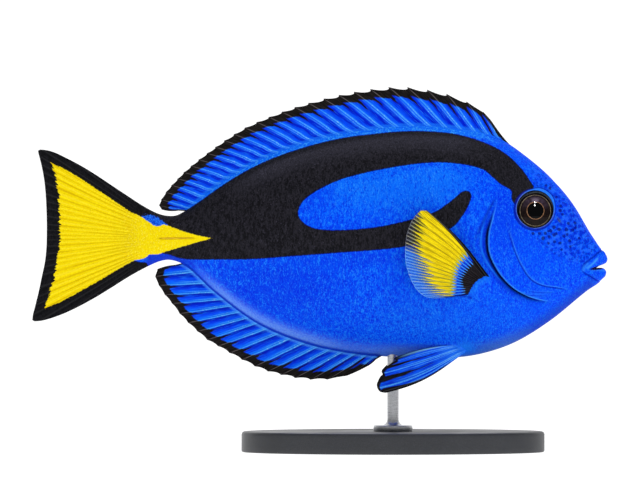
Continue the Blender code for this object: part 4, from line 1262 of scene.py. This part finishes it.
def eye_look():
    k = Look("eye", 0.4, 0.0)
    d = k.attr("dist")
    sweep, sweep2 = k.attr("sweep"), k.attr("sweep2")
    fibre = k.noise(k.vec(k.mul(sweep, 9.0), k.mul(sweep2, 9.0), k.mul(d, 0.10)), 1.6, 3, 0.6)
    cloud = k.noise(k.vec(k.mul(sweep, k.mul(d, 0.2)), k.mul(sweep2, k.mul(d, 0.2))), 1.3, 3, 0.65)
    iris = k.mix(k.ramp(fibre, 0.3, 0.7), rgb(5, 3, 4), rgb(25, 16, 15))
    iris = k.mix(k.ramp(cloud, 0.45, 0.7, 0, 0.6), iris, rgb(36, 23, 21))
    # painted reflection on the iris: a violet sheen over its upper part and a soft pale glow above the pupil
    iris = k.mix(k.mul(k.ramp(sweep, 0.1, -0.9), k.ramp(cloud, 0.3, 0.7, 0.3, 0.9)), iris, rgb(62, 50, 66))
    glow = k.mul(k.ramp(sweep, -0.90, -1.0), k.mul(k.ramp(d, 8.4, 9.4), k.ramp(d, 14.0, 10.5)))
    iris = k.mix(k.mul(glow, 0.5), iris, rgb(140, 124, 146))
    iris = k.mix(k.mul(k.ramp(d, 14.6, 13.2, 1.0, 0.0), 0.6), iris, rgb(10, 6, 6))
    copper = k.mix(k.ramp(cloud, 0.35, 0.65), rgb(120, 82, 58), rgb(172, 130, 96))
    dull = k.mix(k.ramp(cloud, 0.35, 0.65), rgb(92, 82, 64), rgb(150, 134, 108))
    ripple = k.mul(k.math("SUBTRACT", cloud, 0.5), 0.5)
    x = k.add(d, ripple)
    inner = k.mul(k.ramp(x, 8.0, 8.5), k.ramp(x, 9.15, 8.65))
    outer = k.mul(k.ramp(x, 14.9, 15.4), k.ramp(x, 15.9, 15.45))
    colour = k.mix(k.ramp(x, 8.5, 7.9), iris, rgb(1, 2, 3))
    colour = k.mix(k.mul(inner, 0.95), colour, copper)
    colour = k.mix(k.mul(outer, 0.85), colour, dull)
    colour = k.mix(k.ramp(x, 15.8, 16.3), colour, rgb(2, 2, 4))
    colour = k.mix(k.mul(k.ramp(x, 17.3, 17.9), k.ramp(sweep, 0.1, -0.5)), colour, k.mix(fibre, rgb(28, 34, 36), rgb(62, 68, 74)))
    colour = k.mix(k.ramp(d, 19.2, 19.7), colour, rgb(2, 3, 8))
    normal = k.bump(fibre, 0.03)
    k.shader.inputs["Coat Weight"].default_value = 0.20
    k.shader.inputs["Coat Roughness"].default_value = 0.03
    return k.done(colour, k.ramp(fibre, 0.3, 0.7, 0.36, 0.5), normal)


def spine_look():
    k = Look("tail_spine", 0.35, 0.4)
    n = k.noise(k.mm(0.25, 1.2, 1.2), 1.6, 3, 0.6)
    colour = k.mix(k.ramp(n, 0.3, 0.7), rgb(206, 164, 6), rgb(240, 204, 22))
    return k.done(colour, k.ramp(n, 0.3, 0.7, 0.3, 0.5), k.bump(n, 0.05))


def paint_look():
    k = Look("stand_paint", 0.42, 0.5)
    peel = k.noise(k.mm(), 0.9, 2, 0.5)
    fleck = k.noise(k.mm(), 4.0, 2, 0.6)
    broad = k.noise(k.mm(), 0.03, 3, 0.6)
    colour = k.mix(k.ramp(fleck, 0.4, 0.72), rgb(40, 42, 46), rgb(60, 62, 67))
    colour = k.mix(k.ramp(broad, 0.4, 0.7, 0, 0.3), colour, rgb(34, 35, 40))
    return k.done(colour, k.ramp(broad, 0.35, 0.65, 0.36, 0.5), k.bump(peel, 0.05, k.bump(fleck, 0.01)))


def steel_look():
    k = Look("stand_steel", 0.3, 0.5)
    k.shader.inputs["Metallic"].default_value = 1.0
    turned = k.noise(k.mm(0.2, 0.2, 6.0), 1.6, 3, 0.7)
    cloud = k.noise(k.mm(), 0.15, 3, 0.6)
    colour = k.mix(k.ramp(turned, 0.3, 0.7), rgb(168, 170, 174), rgb(214, 215, 218))
    colour = k.mix(k.ramp(cloud, 0.4, 0.7, 0, 0.3), colour, rgb(150, 152, 158))
    return k.done(colour, k.ramp(turned, 0.3, 0.7, 0.24, 0.42), k.bump(turned, 0.02))


# --------------------------------------------------------------------- build
def dress(obj, material, slot, *nodes):
    obj.data.materials.clear()
    obj.data.materials.append(material)
    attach(obj, "root")
    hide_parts(*nodes)


skin = make_skin()
dress(skin, skin_look(), "skin_blue", "head", "trunk", "tail_stalk", "tail_fin")

dorsal = median_fin(
    "dorsal_fin_membrane", dorsal_tip, dorsal_lead, back, -1, 28,
    fair((-1, 0), (0, 2.6), (0.5, 3.4), (1, 4.4), (3, 5.0), (5, 4.8), (8, 3.6), (12, 2.4), (18, 1.7), (28, 0.6)),
    14, 48, 0.17, 1, fair((-1, 0), (1, 0.9), (4, 1.3), (8, 1.0), (14, 0.5), (20, 0.3), (26, 0.1), (28, -1.0)),
    fair((-1, 0), (4, 0), (10, 0.8), (22, 0.8), (28, 0)),
)
dress(dorsal, median_look("dorsal_fin", (
    (0.0, rgb(30, 130, 255)), (0.08, rgb(6, 88, 255)), (0.24, rgb(0, 50, 238)), (0.42, rgb(0, 28, 200)),
    (0.56, rgb(0, 32, 208)), (0.74, rgb(0, 76, 250)), (0.92, rgb(10, 104, 255)), (1.0, rgb(30, 130, 255)),
), 2.6, 7.4, 0.5, 11.0, (("front", 2.4), ("rear", 1.3)), rgb(22, 116, 250), 0.0), "fin_blue", "dorsal_fin")
anal = median_fin(
    "anal_fin_membrane", anal_tip, anal_lead, belly, 0, 19,
    fair((0, 0), (0.6, 0.6), (1, 2.2), (2, 3.0), (5, 2.4), (8, 1.8), (12, 1.3), (19, 0.5)),
    16, 46, 0.17, -1, fair((0, 1.6), (1, 1.1), (2, 0.6), (5, 0.3), (8, 0.2), (14, 0.2), (17, 0.0), (19, -0.8)),
    fair((0, 0), (19, 0)),
)
dress(anal, median_look("anal_fin", (
    (0.0, rgb(70, 168, 255)), (0.05, rgb(22, 126, 255)), (0.22, rgb(4, 100, 255)), (0.44, rgb(0, 68, 246)),
    (0.62, rgb(0, 44, 222)), (0.80, rgb(0, 24, 176)), (0.93, rgb(0, 36, 198)), (1.0, rgb(70, 168, 255)),
), 2.2, 7.2, 0.78, 10.0, (("front", 1.6), ("rear", 1.2)), rgb(70, 150, 252), 0.9), "fin_blue", "anal_fin")

def seen(*knots, size=1.0):
    """A curve of places read off the side elevation, drawn in as much as they stand out towards the eye."""
    mid = MID_U if size > 0 else LEVEL_V
    return fair(*((a, mid + (x - mid) / abs(size)) for a, x in knots))


pectoral_root = (fair((0, 487.6), (0.12, 483.6), (0.3, 478.8), (0.5, 474.9), (0.68, 472.2), (0.84, 470.0), (1, 467.0)),
                 fair((0, 275.4), (0.12, 276.6), (0.3, 278.6), (0.5, 281.6), (0.68, 285.0), (0.84, 288.8), (1, 294.4)))
pectoral_tip = (
    seen((0, 426.4), (0.06, 420.4), (0.12, 415.6), (0.2, 410.6), (0.3, 406.6), (0.4, 405.2), (0.52, 405.0),
         (0.64, 407.2), (0.74, 411.0), (0.84, 417.4), (0.92, 425.0), (1, 435.0), size=1.009),
    seen((0, 210.2), (0.06, 210.6), (0.12, 215.2), (0.2, 222.6), (0.3, 234.0), (0.4, 245.4), (0.52, 257.8),
         (0.64, 269.6), (0.74, 280.2), (0.84, 290.6), (0.92, 296.6), (1, 298.6), size=-1.009),
)
pelvic_root = (fair((0, 464), (0.5, 459), (1, 452)), fair((0, 351.6), (0.5, 347.6), (1, 345.0)))
pelvic_tip = (
    fair((0, 385.2), (0.05, 380.4), (0.10, 377.9), (0.16, 377.0), (0.24, 378.2), (0.33, 380.4), (0.41, 383.0),
         (0.46, 382.0), (0.53, 382.4), (0.62, 385.2), (0.72, 388.6), (0.83, 392.6), (0.90, 395.6),
         (0.94, 393.6), (1, 396.6)),
    fair((0, 392.2), (0.05, 391.4), (0.10, 389.0), (0.16, 385.6), (0.24, 381.6), (0.33, 377.4), (0.41, 374.5),
         (0.46, 372.8), (0.53, 370.4), (0.62, 367.2), (0.72, 364.2), (0.83, 361.4), (0.90, 359.6),
         (0.94, 358.6), (1, 356.2)),
)
look_pec, look_pel = pectoral_look(), pelvic_look()
for side, label in ((1, "left"), (-1, "right")):
    fin = fan_fin("pectoral_fin_membrane_" + label, side, pectoral_root, pectoral_tip,
                  16, 12, 92, (5.3, -0.4), 0.10, 0.40, 3.0, 0.3, 0.10, 3.0, 0.15)
    dress(fin, look_pec, "fin_yellow", "pectoral_fin_" + label)
    fin = fan_fin("pelvic_fin_membrane_" + label, side, pelvic_root, pelvic_tip,
                  6, 22, 84, (-6.6, 2.4), 0.0, 0.30, 3.2, 0.0, 0.14, 3.0, 0.7)
    dress(fin, look_pel, "fin_blue", "pelvic_fin_" + label)

look_eye, look_spine = eye_look(), spine_look()
for side, label in ((1, "left"), (-1, "right")):
    dress(make_eye("eyeball_" + label, side), look_eye, "eye", "eye_" + label)
    # the folded spine: a lancet that lies in its groove, point forward
    prof = [(0, -0.0068)] + [
        (0.00046 * math.sin(math.pi * min(1, (x + 0.02) ** 0.55)) ** 0.8 + 0.00002, -0.0068 + 0.0150 * x)
        for x in np.linspace(0.01, 0.99, 28)
    ] + [(0, 0.0082)]
    y = float(side_y(177, 238.2)) - 0.00030
    blade = lathe("tail_spine_blade_" + label, prof, 24, 1.0, 0.75,
                  (0, 0, 0), "X")
    slope = float(side_y(186, 237.3) - side_y(168, 237.3)) / (18 * UNIT)
    co = np.empty(len(blade.data.vertices) * 3)
    blade.data.vertices.foreach_get("co", co)
    co = co.reshape(-1, 3)
    co[:, 1] = side * (y + slope * co[:, 0] + co[:, 1])
    co[:, 0] += float(X(177))
    co[:, 2] += float(Z(238.2))
    blade.data.vertices.foreach_set("co", co.ravel())
    if side < 0:
        blade.data.flip_normals()
    blade.data.update()
    dress(blade, look_spine, "spine", "tail_spine_" + label)

# stand
lo, hi = (np.array(c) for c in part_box("stand_base"))
centre, size = (lo + hi) / 2, hi - lo
h = float(size[2])
ra = float(size[0]) / 2
edge = [(1 - 0.0014 / ra * (1 - math.sin(a)), h - 0.0014 * (1 - math.cos(a)))
        for a in np.linspace(0, math.pi / 2, 7)]
foot = [(1 - 0.0008 / ra * (1 - math.cos(a)), 0.0008 * (1 - math.sin(a)))
        for a in np.linspace(0, math.pi / 2, 5)]
top = [(0, h)] + [(x, h) for x in np.linspace(0.08, 0.94, 18)]
prof = top + edge + [(1.0, h - 0.003), (1.0, 0.003)] + foot + [(0.9, 0), (0.5, 0), (0.1, 0), (0, 0)]
base = lathe("stand_plate", prof, 224, float(size[0]) / 2, float(size[1]) / 2,
             (float(centre[0]), 0, float(lo[2])))
dress(base, paint_look(), "stand_paint", "stand_base")
lo, hi = (np.array(c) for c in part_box("stand_rod"))
rx, z0, z1 = float(lo[0] + hi[0]) / 2, float(lo[2]) - 0.00025, float(hi[2])
r, fr, fh = 0.0025, float(hi[0] - lo[0]) / 2, 0.0026
prof = [(0, z1), (r - 0.0004, z1), (r, z1 - 0.0004)]
prof += [(r, z) for z in np.linspace(z1 - 0.002, z0 + fh + 0.0032, 14)]
prof += [(r + 0.0024 * (1 - math.cos(a)), z0 + fh + 0.0028 * (1 - math.sin(a)))
         for a in np.linspace(0.1, math.pi / 2, 9)]
prof += [(x, z0 + fh) for x in np.linspace(r + 0.0028, fr - 0.0007, 3)]
prof += [(fr - 0.0006 * (1 - math.sin(a)), z0 + fh - 0.0006 * (1 - math.cos(a)))
         for a in np.linspace(0, math.pi / 2, 6)]
prof += [(fr, z0 + 0.0003), (fr - 0.0002, z0), (0, z0)]
rod = lathe("stand_post", prof, 72, 1, 1, (rx, 0, 0))
dress(rod, steel_look(), "stand_steel", "stand_rod")

# --------------------------------------------------------------------- stage
n = 40
ys = np.concatenate([[-7.0], 4.2 + 1.4 * np.sin(np.linspace(0, math.pi / 2, n)), [5.6]])
zs = np.concatenate([[0.0], 1.4 - 1.4 * np.cos(np.linspace(0, math.pi / 2, n)), [8.0]])


def pale(name, verts, faces, glow):
    me = bpy.data.meshes.new(name)
    me.from_pydata(verts, [], faces)
    me.shade_smooth()
    obj = bpy.data.objects.new(name, me)
    bpy.context.scene.collection.objects.link(obj)
    k = Look("pale_" + name, 0.9, 0.0)
    k.shader.inputs["Base Color"].default_value = (0.35, 0.35, 0.35, 1)
    k.shader.inputs["Emission Color"].default_value = (1, 1, 1, 1)
    k.shader.inputs["Emission Strength"].default_value = glow
    me.materials.append(k.material)
    return obj


pale("sweep", [(x, y, z) for y, z in zip(ys, zs) for x in (-9.0, 9.0)],
     [(2 * i, 2 * i + 1, 2 * i + 3, 2 * i + 2) for i in range(len(ys) - 1)], 0.9)
# the rest of the room, far off: it is seen, and neither lights nor shades anything
turn = np.linspace(0, 2 * math.pi, 64, endpoint=False)
ids = np.arange(3 * 64).reshape(3, 64)
room = pale("surround", [(r * math.cos(a), r * math.sin(a), z)
                         for r, z in ((0.5, -0.03), (7.4, -0.03), (7.4, 8.0)) for a in turn],
            strip(np.hstack([ids, ids[:, :1]]), True).tolist() + [ids[0].tolist()], 1.0)
room.visible_diffuse = room.visible_glossy = room.visible_transmission = room.visible_shadow = False

world = bpy.data.worlds.new("studio")
world.use_nodes = True
world.node_tree.nodes["Background"].inputs["Color"].default_value = (1, 1, 1, 1)
world.node_tree.nodes["Background"].inputs["Strength"].default_value = 0.34
bpy.context.scene.world = world
bpy.context.scene.view_settings.view_transform = "Standard"

AIM = Vector((0, 0, LEVEL_Z))


def lamp(name, place, size, watts, shape="DISK"):
    data = bpy.data.lights.new(name, "AREA")
    data.shape = shape
    data.size = size
    data.energy = watts
    obj = bpy.data.objects.new(name, data)
    bpy.context.scene.collection.objects.link(obj)
    obj.location = place
    obj.rotation_mode = "QUATERNION"
    obj.rotation_quaternion = (AIM - Vector(place)).to_track_quat("-Z", "Y")
    return obj


CAMERA = (0.0, -3.0, LEVEL_Z)
key = lamp("key", mirror_place(-0.7, -12.0, 1.9, CAMERA), 0.6, 11)
fill = lamp("fill", (0.5, -2.3, 0.42), 0.8, 9)
for wide in (key, fill):
    wide.visible_glossy = False
lamp("top", (0.0, 0.2, 1.9), 1.4, 8)
# two small lamps that only glint in the eyes
eyes = bpy.data.collections.new("eyes")
for label in ("left", "right"):
    eyes.objects.link(bpy.data.objects["eyeball_" + label])
for name, dv in (("glint_a", -8.6), ("glint_b", -5.2)):
    glint = lamp(name, mirror_place(-0.7, dv, 1.5, CAMERA), 0.11, 12)
    glint.visible_diffuse = False
    glint.light_linking.receiver_collection = eyes

camera_data = bpy.data.cameras.new("camera")
camera_data.sensor_width = 36
far = 3.0
camera_data.lens = 36 * far / (640 * UNIT)
camera_data.clip_end = 30
camera = bpy.data.objects.new("camera", camera_data)
bpy.context.scene.collection.objects.link(camera)
camera.location = CAMERA
camera.rotation_euler = (math.pi / 2, 0, 0)
bpy.context.scene.camera = camera
